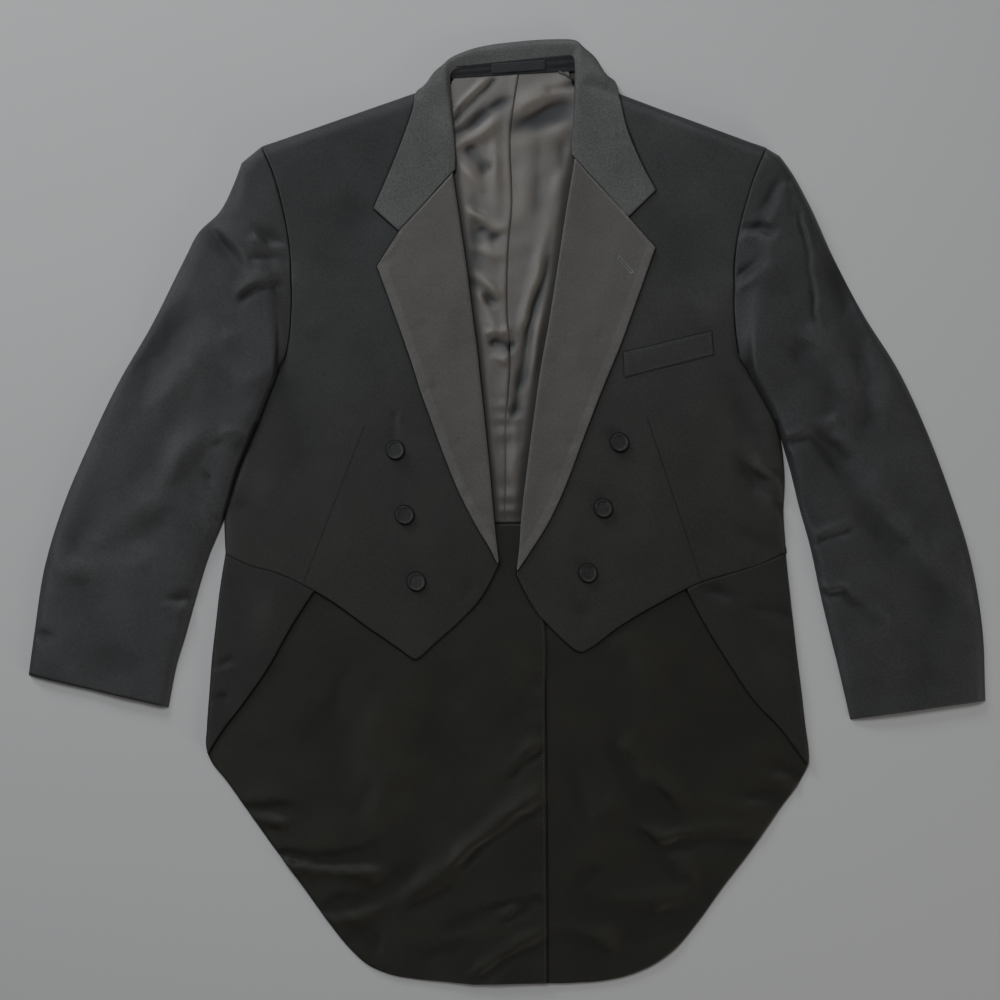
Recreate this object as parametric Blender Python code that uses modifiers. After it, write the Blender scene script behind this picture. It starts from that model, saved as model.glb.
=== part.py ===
"""A men's evening tailcoat laid out flat on its back, open at the front, with +Y towards the collar.

"right" and "left" are the wearer's: the right side lies at -X and the left side at +X.
All the lengths below are in millimetres. Each panel is a wall between an outer and an inner grid
of points, and what lies on a panel is made from that panel's own heights, moved up.
"""

import math
from collections import namedtuple

import bmesh
import bpy

MM = 0.001

SIDES = {"right": -1, "left": 1}

# Thicknesses and gaps
SEAM_GAP = 0.3
CLOTH = 1.4
LINING = 1.0
SATIN = 1.8
LAY_GAP = 0.5
SLEEVE_UNDER = 1.2
FRONT_WALL = 2.4
SLEEVE_WALL = 1.8

# Heights above the surface that the coat lies on
LINING_FOOT = CLOTH + SEAM_GAP
FRONT_FOOT = LINING_FOOT + LINING + SEAM_GAP
FRONT_TOP = FRONT_FOOT + FRONT_WALL
HOLLOW_ROOF = LINING_FOOT + LINING + 3.4
SLEEVE_ROOF = SLEEVE_UNDER + 3.4
EDGE_TOP = LINING_FOOT + 1.5
PAD_RISE = 15.0
CHEST_RISE = 3.5
NECK_LIFT = 2.4
VENT_LIFT = LINING_FOOT + LINING + SEAM_GAP

# Lengths that the panels share
ROLL_INSET = 2.6
EDGE_ROUND = 12.0
SHOULDER_ROUND = 16.0
NECK_SEAM_Y = 461.0
ARMPIT_Y = 152.0
WAIST_Y = -41.5
LINING_HEM_Y = -10.0
VENT_TOP_Y = -116.0
VENT_EDGE_X = 41.0
VENT_STEP = 9.0
VENT_START = 4.0
VENT_RAMP = 8.0
HEM_Y = -495.0
COLLAR_MIDDLE_X = 7.0
NECK_MIDDLE_X = 10.0

# Sections down each front: its inner edge, its outer edge, and how far that edge folds down.
# The first ten sections end on the armhole, and the sleeve head starts from the same points.
# From the fifth section down, the inner edge is the line that the lapel rolls over.
FrontRow = namedtuple("FrontRow", "in_x in_y out_x out_y fold")
FRONT = {
    "right": [
        FrontRow(-84, 446, -258, 386, 0),
        FrontRow(-76, 436, -254, 378, 0),
        FrontRow(-70, 422, -247, 363, 0),
        FrontRow(-63, 392, -237, 330, 0),
        FrontRow(-57, 357, -229, 288, 0),
        FrontRow(-49, 304, -226, 240, 0),
        FrontRow(-41, 248, -227, 203, 0),
        FrontRow(-35, 200, -230, 178, 0.3),
        FrontRow(-31, 170, -234, 162, 0.7),
        FrontRow(-29, 150, -238, 152, 1),
        FrontRow(-23, 95, -258, 96, 1),
        FrontRow(-18, 45, -278, 46, 1),
        FrontRow(-14, 0, -292, 0, 1),
        FrontRow(-11, -30, -296, -26, 1),
    ],
    "left": [
        FrontRow(98, 448, 272, 385, 0),
        FrontRow(90, 438, 268, 376, 0),
        FrontRow(84, 424, 261, 360, 0),
        FrontRow(77, 396, 250, 326, 0),
        FrontRow(71, 372, 241, 286, 0),
        FrontRow(60, 305, 238, 240, 0),
        FrontRow(51, 245, 239, 203, 0),
        FrontRow(43, 195, 242, 178, 0.3),
        FrontRow(38, 168, 246, 162, 0.7),
        FrontRow(35, 150, 250, 152, 1),
        FrontRow(27, 92, 276, 98, 1),
        FrontRow(20, 38, 288, 42, 1),
        FrontRow(15, -5, 290, 0, 1),
        FrontRow(12, -45, 293, -30, 1),
    ],
}
ARMHOLE_ROWS = 10
GORGE_ROW = 4

# The lower edge of each front: the free pointed edge, then the waist seam out to the side.
LowerEdge = namedtuple("LowerEdge", "x y")
FRONT_LOWER_EDGE = {
    "right": [
        LowerEdge(-8, -52),
        LowerEdge(-49, -112),
        LowerEdge(-80, -145),
        LowerEdge(-94, -152),
        LowerEdge(-108, -146),
        LowerEdge(-150, -115),
        LowerEdge(-205, -79),
        LowerEdge(-243, -62),
        LowerEdge(-296, -41),
    ],
    "left": [
        LowerEdge(10, -64),
        LowerEdge(44, -116),
        LowerEdge(68, -141),
        LowerEdge(79, -145),
        LowerEdge(92, -137),
        LowerEdge(135, -108),
        LowerEdge(188, -78),
        LowerEdge(232, -62),
        LowerEdge(293, -41),
    ],
}
LOWER_EDGE_ROWS = 3

# Sections across each sleeve below the armhole: its two edges, how far the section bows
# towards the body, and the height of its top face.
SleeveRow = namedtuple("SleeveRow", "out_x out_y in_x in_y bow height")
SLEEVE = {
    "right": [
        SleeveRow(-286, 346, -242, 143, 14, 19),
        SleeveRow(-308, 310, -250, 124, 8, 17),
        SleeveRow(-338, 267, -262, 92, 3, 14),
        SleeveRow(-375, 196, -281, 46, 0, 11),
        SleeveRow(-408, 139, -296, 2, 0, 8),
        SleeveRow(-440, 72, -312, -42, 0, 7.5),
        SleeveRow(-468, 5, -326, -85, 0, 7),
        SleeveRow(-487, -60, -338, -128, 0, 6.6),
        SleeveRow(-497, -125, -349, -166, 0, 6.4),
        SleeveRow(-503, -169, -356, -203, 0, 6.2),
    ],
    "left": [
        SleeveRow(298, 362, 254, 144, 14, 19),
        SleeveRow(322, 312, 264, 128, 8, 17),
        SleeveRow(345, 272, 281, 98, 3, 14),
        SleeveRow(380, 212, 297, 52, 0, 11),
        SleeveRow(412, 152, 308, 8, 0, 8),
        SleeveRow(441, 88, 319, -35, 0, 7.5),
        SleeveRow(466, 22, 329, -82, 0, 7),
        SleeveRow(486, -40, 339, -122, 0, 6.6),
        SleeveRow(499, -118, 349, -164, 0, 6.4),
        SleeveRow(503, -196, 360, -216, 0, 6.2),
    ],
}

# Sections of each skirt from the waist down: the seam to the back's tail strip, the side fold,
# and the end of the flap that folds over to the front.
SkirtRow = namedtuple("SkirtRow", "y seam_x side_x flap_x flap_y")
SKIRT = {
    "right": [
        SkirtRow(-42, -64, -296, -205, -80),
        SkirtRow(-80, -66, -302, -216, -110),
        SkirtRow(-115, -68, -306, -235, -142),
        SkirtRow(-150, -70, -310, -255, -170),
        SkirtRow(-190, -73, -313, -277, -200),
        SkirtRow(-225, -76, -315, -298, -228),
        SkirtRow(-250, -78, -316, -308, -250),
    ],
    "left": [
        SkirtRow(-42, 64, 293, 189, -79),
        SkirtRow(-80, 66, 297, 203, -110),
        SkirtRow(-115, 68, 301, 220, -138),
        SkirtRow(-150, 70, 305, 242, -170),
        SkirtRow(-190, 73, 310, 268, -204),
        SkirtRow(-225, 76, 314, 293, -232),
        SkirtRow(-258, 78, 317, 309, -258),
    ],
}

# Sections of the tails below the side folds, down to the hem.
TailRow = namedtuple("TailRow", "y seam_x edge_x")
TAIL = {
    "right": [
        TailRow(-300, -80, -281),
        TailRow(-345, -83, -249),
        TailRow(-390, -86, -216),
        TailRow(-430, -88, -186),
        TailRow(-462, -90, -160),
        TailRow(-480, -91, -132),
        TailRow(-487, -91, -112),
    ],
    "left": [
        TailRow(-300, 80, 294),
        TailRow(-345, 83, 263),
        TailRow(-390, 86, 229),
        TailRow(-430, 88, 199),
        TailRow(-462, 90, 171),
        TailRow(-480, 91, 143),
        TailRow(-487, 91, 122),
    ],
}

# The curved seam between the back and the side body, below its start at a section of the armhole.
BackSeam = namedtuple("BackSeam", "y x")
BACK_SEAM = [
    BackSeam(150, 152),
    BackSeam(100, 116),
    BackSeam(50, 88),
    BackSeam(0, 70),
    BackSeam(WAIST_Y, 64),
]
BACK_SEAM_ROW = 6

# The outer edge of each lapel, for the sections of its front from the gorge seam down.
LapelEdge = namedtuple("LapelEdge", "x y")
LAPEL = {
    "right": [
        LapelEdge(-113, 296),
        LapelEdge(-135, 260),
        LapelEdge(-113, 198),
        LapelEdge(-98, 153),
        LapelEdge(-88, 126),
        LapelEdge(-81, 106),
        LapelEdge(-61, 56),
        LapelEdge(-42, 12),
        LapelEdge(-25, -18),
        LapelEdge(-18, -29),
    ],
    "left": [
        LapelEdge(127, 311),
        LapelEdge(155, 278),
        LapelEdge(132, 213),
        LapelEdge(117, 172),
        LapelEdge(107, 148),
        LapelEdge(100, 131),
        LapelEdge(79, 82),
        LapelEdge(53, 29),
        LapelEdge(37, -12),
        LapelEdge(20, -46),
    ],
}

# Sections of one half of the upper collar, from the gorge seam round to the middle of the neck.
# "in" is its lower edge inside the neck, "top" its crest, "over" its belly, "end" its outer edge.
# X runs from the collar's own middle. On the wearer's left, rise lifts the section and end_rise
# its outer edge. Where on_front is 1, over_z and end_z are counted from the front's top face.
CollarRow = namedtuple(
    "CollarRow",
    "in_x in_y in_z top_x top_y top_z over_x over_y over_z end_x end_y end_z rise end_rise on_front",
)
COLLAR = [
    CollarRow(61, 361, 7.0, 64, 358.5, 12.0, 92, 328, 2.7, 120, 297.5, 2.5, 15, 15, 1),
    CollarRow(61, 371, 7.5, 64, 369, 12.8, 104, 345, 2.7, 148, 320, 2.5, 17, 18, 1),
    CollarRow(61.5, 391, 8.5, 65, 390, 14.8, 98, 372, 2.8, 131, 355, 2.6, 16, 15, 1),
    CollarRow(62.5, 413, 10.0, 67, 414, 17.5, 91, 403, 3.2, 115, 394, 2.8, 14, 12, 1),
    CollarRow(64, 433, 11.0, 70, 437, 20.0, 88, 430, 4.5, 105, 425, 3.6, 13, 9, 1),
    CollarRow(63, 448, 11.0, 71, 453, 21.0, 88, 454, 17.0, 101, 450, 9.5, 13, 8, 0),
    CollarRow(58, 459, 9.5, 65, 467, 18.0, 80, 467, 11.0, 88, 460, 2.5, 13, 5, 0),
    CollarRow(46, 468, 7.4, 52, 479, 13.0, 61, 481, 2.6, 62, 456, 0.0, 9, 2, 0),
    CollarRow(26, 474, 6.6, 29, 486, 9.5, 31, 488.5, 1.5, 31, 446, 0.0, 5, 0, 0),
    CollarRow(0, 476, 6.4, 0, 488, 8.8, 0, 492, 1.3, 0, 443, 0.0, 0, 0, 0),
]
COLLAR_WALL = 1.6
COLLAR_COLUMNS = 9

# The body lining beside the middle seam: the seam's place and how far out each side reaches.
LiningRow = namedtuple("LiningRow", "y middle_x right_x left_x")
BODY_LINING = [
    LiningRow(NECK_SEAM_Y, 12, -54, 66),
    LiningRow(446, 10, -62, 74),
    LiningRow(431, 7, -74, 88),
    LiningRow(400, 4, -130, 144),
    LiningRow(350, 4, -205, 217),
    LiningRow(290, 2, -212, 225),
    LiningRow(230, 0, -210, 223),
    LiningRow(170, 2, -214, 227),
    LiningRow(110, 0, -236, 252),
    LiningRow(50, -1, -260, 270),
    LiningRow(LINING_HEM_Y, -1, -276, 274),
]

Spot = namedtuple("Spot", "x y")
BUTTONS = {
    "right": [Spot(-117, 67), Spot(-107, -1), Spot(-95, -71)],
    "left": [Spot(118, 75), Spot(101, 6), Spot(85, -62)],
}
BUTTON_RADIUS = 9.4
BUTTON_HEIGHT = 5.0

WELT_CORNERS = [Spot(122, 169), Spot(214, 192), Spot(123, 143), Spot(216, 167)]
WELT_WALL = 1.4

STAND = {"left_x": 66, "right_x": -50, "foot": 3.1, "wall": 1.5, "depth": 12.5, "slant": 0.06}
LABEL = {"x": 12, "length": 54, "depth": 8.5, "wall": 0.5, "slant": 0.07}
LOOP = {"start": Spot(52, 456), "end": Spot(68, 450), "width": 3.0, "foot": 5.9, "wall": 1.2}

COLOURS = {
    "wool": (0.017, 0.017, 0.019),
    "satin": (0.045, 0.044, 0.047),
    "lining": (0.075, 0.067, 0.06),
    "button_cover": (0.022, 0.022, 0.024),
    "label": (0.015, 0.015, 0.016),
}
ROUGHNESS = {"wool": 0.92, "satin": 0.5, "lining": 0.42, "button_cover": 0.7, "label": 0.7}


def lerp(a, b, t):
    return a + (b - a) * t


def smooth(t):
    t = min(max(t, 0.0), 1.0)
    return t * t * (3 - 2 * t)


def rounded(distance, radius):
    """0 at an edge, rising like a quarter circle to 1 at the given radius from it."""
    t = min(max(distance / radius, 0.0), 1.0)
    return math.sqrt(1 - (1 - t) ** 2)


def along(rows, key, value, column):
    """Reads a column of a table at a value of its key column, on straight lines between rows."""
    ordered = sorted(rows, key=lambda row: getattr(row, key))
    for low, high in zip(ordered, ordered[1:]):
        if value <= getattr(high, key):
            break
    span = getattr(high, key) - getattr(low, key)
    t = min(max((value - getattr(low, key)) / span, 0.0), 1.0)
    return lerp(getattr(low, column), getattr(high, column), t)


def material_of(slot):
    material = bpy.data.materials.get(slot)
    if material is None:
        material = bpy.data.materials.new(slot)
        material.use_nodes = True
        shader = material.node_tree.nodes["Principled BSDF"]
        shader.inputs["Base Color"].default_value = (*COLOURS[slot], 1)
        shader.inputs["Roughness"].default_value = ROUGHNESS[slot]
        shader.inputs["Metallic"].default_value = 0.0
        material.diffuse_color = (*COLOURS[slot], 1)
    return material


def add_object(name, mesh, slot):
    mesh.materials.append(material_of(slot))
    piece = bpy.data.objects.new(name, mesh)
    coat.objects.link(piece)
    return piece


def wall(name, outer, inner, slot):
    """A closed wall between two grids of points in millimetres, whose rows may differ in length."""
    bm = bmesh.new()
    faces_out = [[bm.verts.new([v * MM for v in point]) for point in row] for row in outer]
    faces_in = [[bm.verts.new([v * MM for v in point]) for point in row] for row in inner]
    partner = {}
    for row_out, row_in in zip(faces_out, faces_in):
        partner.update(zip(row_out, row_in))
    for upper, lower in zip(faces_out, faces_out[1:]):
        for c in range(min(len(upper), len(lower)) - 1):
            corners = [upper[c], upper[c + 1], lower[c + 1], lower[c]]
            bm.faces.new(corners)
            bm.faces.new([partner[v] for v in reversed(corners)])
    rim = [edge for edge in bm.edges if len(edge.link_faces) == 1 and edge.verts[0] in partner]
    for edge in rim:
        a, b = edge.verts
        bm.faces.new([b, a, partner[a], partner[b]])
    bmesh.ops.recalc_face_normals(bm, faces=bm.faces)
    mesh = bpy.data.meshes.new(name)
    bm.to_mesh(mesh)
    bm.free()
    mesh.shade_smooth()
    mesh.set_sharp_from_angle(angle=math.radians(40))
    return add_object(name, mesh, slot)


def slab(name, grid, slot):
    """A wall whose grid holds (x, y, bottom, top) for each point."""
    outer = [[(x, y, top) for x, y, bottom, top in row] for row in grid]
    inner = [[(x, y, bottom) for x, y, bottom, top in row] for row in grid]
    return wall(name, outer, inner, slot)


def shoulder_y(x):
    """The height up the page of the shoulder line above x."""
    rows = FRONT["left" if x > 0 else "right"]
    neck = rows[0]
    slope = (neck.out_y - neck.in_y) / (neck.out_x - neck.in_x)
    return neck.in_y + slope * (x - neck.in_x)


def crown(x, y):
    """The top face of a front, away from its side edge: chest, padded shoulder, rounded shoulder edge."""
    side = abs(x)
    below = 0.937 * (shoulder_y(x) - y)
    pad = PAD_RISE * math.exp(-((below / 80) ** 2)) * lerp(0.45, 1, smooth((side - 110) / 120))
    chest = CHEST_RISE * math.exp(-(((side - 120) / 100) ** 2) - ((y - 180) / 140) ** 2)
    return lerp(EDGE_TOP, FRONT_TOP + pad + chest, rounded(below, SHOULDER_ROUND))


def front_heights(x, y, from_side, fold):
    """The bottom and top of a front, where from_side is the distance to its outer edge."""
    full = crown(x, y)
    top = lerp(full, lerp(EDGE_TOP, full, rounded(from_side, EDGE_ROUND)), fold)
    roof = min(max(full - FRONT_WALL, FRONT_FOOT), HOLLOW_ROOF)
    from_shoulder = 0.937 * (shoulder_y(x) - y)
    settled = lerp(1.0, smooth(from_side / EDGE_ROUND), fold) * smooth(from_shoulder / SHOULDER_ROUND)
    bottom = min(lerp(LINING_FOOT, roof, settled), top - 1.2)
    return bottom, top


def front(side):
    rows = FRONT[side]
    steps = (0, 0.04, 0.14, 0.27, 0.41, 0.56, 0.72, 0.86)
    side_steps = (14.0, 8.0, 3.5, 0.0)
    grid = []
    for index, row in enumerate(rows):
        width = math.hypot(row.out_x - row.in_x, row.out_y - row.in_y)
        inset = (SEAM_GAP / 2 if index < ARMHOLE_ROWS else 1.0) / width
        places = [lerp(ROLL_INSET / width, 1 - 24 / width, s / steps[-1]) for s in steps]
        places += [1 - inset - s / width for s in side_steps]
        points = []
        for t in places:
            x, y = lerp(row.in_x, row.out_x, t), lerp(row.in_y, row.out_y, t)
            bottom, top = front_heights(x, y, (1 - t) * width, row.fold)
            points.append((x, y, bottom, top))
        grid.append(points)
    last = grid[-1]
    edge = FRONT_LOWER_EDGE[side]
    for step in range(1, LOWER_EDGE_ROWS + 1):
        t = step / LOWER_EDGE_ROWS
        points = []
        for index, (x0, y0, _, _) in enumerate(last):
            x1 = edge[index].x if index < len(edge) - 1 else x0
            x = lerp(x0, x1, t)
            y = lerp(y0, along(edge, "x", x1, "y"), t)
            bottom, top = front_heights(x, y, abs(last[-1][0] - x), 1)
            points.append((x, y, bottom, top))
        grid.append(points)
    return slab(f"front_{side}", grid, "wool")


def armhole_points(side, gap):
    """The armhole line, from the shoulder to the armpit, moved sideways by the gap."""
    sign = SIDES[side]
    return [(row.out_x + sign * gap, row.out_y, row) for row in FRONT[side][:ARMHOLE_ROWS]]


def sleeve_grid(side):
    """Points (x, y, from_edge, height, share) across the sleeve, a row for each section."""
    sign = SIDES[side]
    head = armhole_points(side, SEAM_GAP / 2)
    lengths = [0.0]
    for (x0, y0, _), (x1, y1, _) in zip(head, head[1:]):
        lengths.append(lengths[-1] + math.hypot(x1 - x0, y1 - y0))
    shares = [length / lengths[-1] for length in lengths]
    grid = [[(x, y, None, None) for x, y, _ in head]]
    for row in SLEEVE[side]:
        width = math.hypot(row.out_x - row.in_x, row.out_y - row.in_y)
        normal_x = abs(row.out_y - row.in_y) / width
        normal_y = -sign * (row.out_x - row.in_x) / width
        points = []
        for u in shares:
            bow = row.bow * 4 * u * (1 - u)
            x = lerp(row.out_x, row.in_x, u) - sign * normal_x * bow
            y = lerp(row.out_y, row.in_y, u) - normal_y * bow * 0.5
            points.append((x, y, width * min(u, 1 - u), row.height))
        grid.append(points)
    return grid


def top_sleeve(side):
    grid = []
    for row, section in zip(sleeve_grid(side), [None] + SLEEVE[side]):
        points = []
        for (x, y, from_edge, height), armhole in zip(row, FRONT[side]):
            if section is None:
                bottom, top = front_heights(x, y, 0.0, armhole.fold)
            else:
                top = lerp(EDGE_TOP, height, rounded(from_edge, EDGE_ROUND))
                bottom = SLEEVE_UNDER + SEAM_GAP
            roof = min(top - SLEEVE_WALL, SLEEVE_ROOF)
            bottom = max(SLEEVE_UNDER + SEAM_GAP, min(roof, top - 1.2))
            points.append((x, y, bottom, top))
        grid.append(points)
    return slab(f"top_sleeve_{side}", grid, "wool")


def under_sleeve(side):
    grid = [[(x, y, 0.0, SLEEVE_UNDER) for x, y, _, _ in row] for row in sleeve_grid(side)]
    return slab(f"under_sleeve_{side}", grid, "wool")


def neck_lift(x, y, reach):
    """How far the back rises over the collar's fall, which lies beneath it at the neck."""
    return NECK_LIFT * smooth((y - 390) / 38) * (1 - smooth((abs(x - COLLAR_MIDDLE_X) - reach) / 16))


def back_line(side, share):
    """Height up the page of a cross line of the back: the neck and shoulder line, lowered."""
    corner = FRONT[side][0]

    def height(x):
        to_neck = (x - COLLAR_MIDDLE_X) / (corner.in_x - COLLAR_MIDDLE_X)
        top = shoulder_y(x) if to_neck > 1 else lerp(NECK_SEAM_Y, corner.in_y, max(to_neck, 0) ** 2)
        return lerp(top, ARMPIT_Y, share)

    return height


def back(side):
    """Half the back: shoulder and armhole, curved seam to the waist, then the tail's middle strip."""
    sign = SIDES[side]
    columns = (0, 0.12, 0.24, 0.36, 0.5, 0.66, 0.83, 1)
    tip_y = FRONT[side][0].out_y
    grid = []

    def middle(y):
        return NECK_MIDDLE_X * max(y, 0.0) / NECK_SEAM_Y

    for x_out, y_out, _ in armhole_points(side, -SEAM_GAP / 2)[: BACK_SEAM_ROW + 1]:
        line = back_line(side, (tip_y - y_out) / (tip_y - ARMPIT_Y))
        grid.append([])
        for c in columns:
            middle_x = middle(line(0)) + sign * SEAM_GAP / 2
            x = lerp(middle_x, x_out, c)
            lift = neck_lift(x, line(x), 66)
            grid[-1].append((x, line(x), lift, lift + CLOTH))
    for seam in BACK_SEAM:
        middle_x = middle(seam.y) + sign * SEAM_GAP / 2
        x_out = sign * (seam.x - SEAM_GAP / 2)
        grid.append([(lerp(middle_x, x_out, c), seam.y, 0.0, CLOTH) for c in columns])
    rows = [(row.y, row.seam_x) for row in SKIRT[side][1:] + TAIL[side]]
    rows[-1] = (HEM_Y, rows[-1][1])
    for y, seam_x in with_vent_rows(rows):
        x_out = seam_x - sign * SEAM_GAP / 2
        grid.append([(x, y, lift, lift + CLOTH) for x, lift in tail_columns(side, y, x_out, len(columns))])
    return slab(f"back_{side}", grid, "wool")


def with_vent_rows(rows):
    """Adds the two cross lines at the top of the vent to a tail's rows of (y, x)."""
    above = [row for row in rows if row[0] > VENT_TOP_Y + VENT_RAMP]
    below = [row for row in rows if row[0] <= VENT_TOP_Y]
    return above + [(VENT_TOP_Y, above[-1][1]), (VENT_TOP_Y - VENT_START, above[-1][1])] + below


def tail_columns(side, y, x_out, count):
    """Places across a tail and how far each is lifted. Down the vent the right tail laps over
    the left one: from its edge, over the lap and down a step to the tail's own level."""
    sign = SIDES[side]
    start_x = sign * SEAM_GAP / 2
    if side == "left":
        return [(lerp(start_x, x_out, c / (count - 1)), 0.0) for c in range(count)]
    edge_x = VENT_EDGE_X if y < VENT_TOP_Y else start_x
    lift = VENT_LIFT if y <= VENT_TOP_Y else 0.0
    lap = [(edge_x, lift), (lerp(start_x, edge_x, 0.5) - 0.5, lift), (start_x - 1, lift)]
    step = [(start_x - 1 - VENT_STEP, 0.0)]
    rest = count - len(lap) - 1
    return lap + step + [(lerp(step[0][0], x_out, (k + 1) / rest), 0.0) for k in range(rest)]


def side_body(side):
    sign = SIDES[side]
    grid = []
    top = FRONT[side][BACK_SEAM_ROW]
    seam = [BackSeam(top.out_y, abs(top.out_x))] + BACK_SEAM
    rows = [(top.out_y - 3, top.out_x, SEAM_GAP / 2)]
    rows += [(row.out_y, row.out_x, SEAM_GAP / 2) for row in FRONT[side][7:ARMHOLE_ROWS]]
    rows += [(row.out_y, row.out_x, 1.0) for row in FRONT[side][ARMHOLE_ROWS:]]
    rows += [(WAIST_Y + SEAM_GAP, SKIRT[side][0].side_x, 1.0)]
    for y, x_out, inset in rows:
        x_in = sign * (along(seam, "y", y, "x") + 2 * SEAM_GAP)
        x_end = x_out - sign * inset
        points = [(lerp(x_in, x_end, c), y, 0.0, CLOTH) for c in (0, 0.25, 0.5, 0.75, 1)]
        grid.append(points)
    return slab(f"side_body_{side}", grid, "wool")


def skirt(side):
    """One skirt: it lies under the tail's lining, folds round the side and ends in the front flap."""
    sign = SIDES[side]
    fold_radius = (FRONT_FOOT + CLOTH) / 2
    outer, inner = [], []
    for row in SKIRT[side]:
        y = row.y - SEAM_GAP if row is SKIRT[side][0] else row.y
        out_row, in_row = [], []
        seam_x = row.seam_x + sign * SEAM_GAP / 2
        straight_x = row.side_x - sign * fold_radius
        for c in (0, 0.25, 0.5, 0.75, 0.92, 1):
            x = lerp(seam_x, straight_x, c)
            out_row.append((x, y, 0.0))
            in_row.append((x, y, CLOTH))
        for degrees in (-45, 0, 45):
            cosine, sine = math.cos(math.radians(degrees)), math.sin(math.radians(degrees))
            bend = fold_radius - CLOTH
            out_row.append((straight_x + sign * fold_radius * cosine, y, fold_radius * (1 + sine)))
            in_row.append((straight_x + sign * bend * cosine, y, fold_radius + bend * sine))
        for c in (0, 0.12, 0.34, 0.56, 0.78, 1):
            x = lerp(straight_x, row.flap_x, c)
            flap_y = lerp(y, row.flap_y - SEAM_GAP, c)
            if row is SKIRT[side][0]:
                flap_y = along(FRONT_LOWER_EDGE[side], "x", x, "y") - 3 * SEAM_GAP
            out_row.append((x, flap_y, FRONT_FOOT + CLOTH))
            in_row.append((x, flap_y, FRONT_FOOT))
        outer.append(out_row)
        inner.append(in_row)
    for row in TAIL[side]:
        seam_x = row.seam_x + sign * SEAM_GAP / 2
        xs = [lerp(seam_x, row.edge_x, c) for c in (0, 0.25, 0.5, 0.75, 0.92, 1)]
        outer.append([(x, row.y, 0.0) for x in xs])
        inner.append([(x, row.y, CLOTH) for x in xs])
    return wall(f"skirt_{side}", outer, inner, "wool")


def tail_lining(side):
    """The tail's inner face in the coat's own cloth. The right one laps over the left at the vent."""
    sign = SIDES[side]
    top_x = FRONT[side][-1].out_x - sign * 17
    rows = [(LINING_HEM_Y - SEAM_GAP, top_x), (WAIST_Y, top_x)]
    rows += [(row.y, row.side_x - sign * 5) for row in SKIRT[side][1:]]
    rows += [(row.y, row.edge_x - sign * 1.5) for row in TAIL[side]]
    rows[-1] = (HEM_Y + 2, rows[-1][1] - sign * 22)
    grid = []
    for y, x_out in with_vent_rows(rows):
        foot = LINING_FOOT
        columns = tail_columns(side, y, x_out, 8)
        grid.append([(x, y, foot + lift, foot + lift + LINING) for x, lift in columns])
    return slab(f"tail_lining_{side}", grid, "wool")


def body_lining(side):
    sign = SIDES[side]
    tip_y = FRONT[side][0].out_y
    grid = []
    for row in BODY_LINING:
        reach = row.right_x if side == "right" else row.left_x
        middle_x = row.middle_x + sign * SEAM_GAP / 2
        grid.append([])
        for c in range(8):
            x = lerp(middle_x, reach, c / 7)
            foot = LINING_FOOT + 1.15 * neck_lift(x, row.y + 6, 86)
            grid[-1].append((x, row.y, foot, foot + LINING))
    return slab(f"body_lining_{side}", grid, "lining")


def lapel(side):
    """One lapel: it rises from the front's inner edge, rolls over and lies on the front."""
    outer, inner = [], []
    for roll, edge in zip(FRONT[side][GORGE_ROW:], LAPEL[side]):
        width = math.hypot(edge.x - roll.in_x, edge.y - roll.in_y)

        def place(s):
            return lerp(roll.in_x, edge.x, s / width), lerp(roll.in_y, edge.y, s / width)

        top = crown(*place(3)) + LAY_GAP + SATIN
        foot = FRONT_FOOT + SEAM_GAP
        middle = lerp(foot, top, 0.55)
        outer.append([(*place(0.3), foot), (*place(0), middle), (*place(0.8), top - 0.6)])
        inner.append([(*place(1.9), foot), (*place(1.8), middle - 0.3), (*place(2.4), top - SATIN)])
        for c in (0.06, 0.25, 0.5, 0.75, 1):
            x, y = place(lerp(3.5, width, c))
            height = crown(x, y) + LAY_GAP
            outer[-1].append((x, y, height + SATIN))
            inner[-1].append((x, y, height))
    return wall(f"lapel_{side}", outer, inner, "satin")


def collar_section(row, sign):
    """Points over one section of the collar, on a smooth curve through its four named places."""
    left = max(sign, 0)
    over_x, end_x = COLLAR_MIDDLE_X + sign * row.over_x, COLLAR_MIDDLE_X + sign * row.end_x
    over_y, end_y = row.over_y + left * row.rise, row.end_y + left * row.end_rise
    knots = [
        (COLLAR_MIDDLE_X + sign * row.in_x, row.in_y + left * row.rise, row.in_z),
        (COLLAR_MIDDLE_X + sign * row.top_x, row.top_y + left * row.rise, row.top_z),
        (over_x, over_y, row.over_z + row.on_front * crown(over_x, over_y)),
        (end_x, end_y, row.end_z + row.on_front * crown(end_x, end_y)),
    ]
    points = []
    for k in range(COLLAR_COLUMNS):
        t = 3 * k / (COLLAR_COLUMNS - 1)
        index = min(int(t), 2)
        f = t - index
        before, start, end, after = (knots[min(max(index + n, 0), 3)] for n in (-1, 0, 1, 2))
        points.append(
            tuple(
                0.5 * (2 * b + (c - a) * f + (2 * a - 5 * b + 4 * c - d) * f**2 + (3 * b - a - 3 * c + d) * f**3)
                for a, b, c, d in zip(before, start, end, after)
            )
        )
    return points


def upper_collar():
    sections = [collar_section(row, -1) for row in COLLAR]
    sections += [collar_section(row, 1) for row in reversed(COLLAR[:-1])]
    mesh = bpy.data.meshes.new("upper_collar")
    bm = bmesh.new()
    grid = [[bm.verts.new([v * MM for v in point]) for point in row] for row in sections]
    for upper, lower in zip(grid, grid[1:]):
        for c in range(COLLAR_COLUMNS - 1):
            bm.faces.new([upper[c], upper[c + 1], lower[c + 1], lower[c]])
    bmesh.ops.recalc_face_normals(bm, faces=bm.faces)
    bm.to_mesh(mesh)
    bm.free()
    mesh.shade_smooth()
    piece = add_object("upper_collar", mesh, "wool")
    shell = piece.modifiers.new("wall", "SOLIDIFY")
    shell.thickness = COLLAR_WALL * MM
    shell.offset = -1
    return piece


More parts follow.
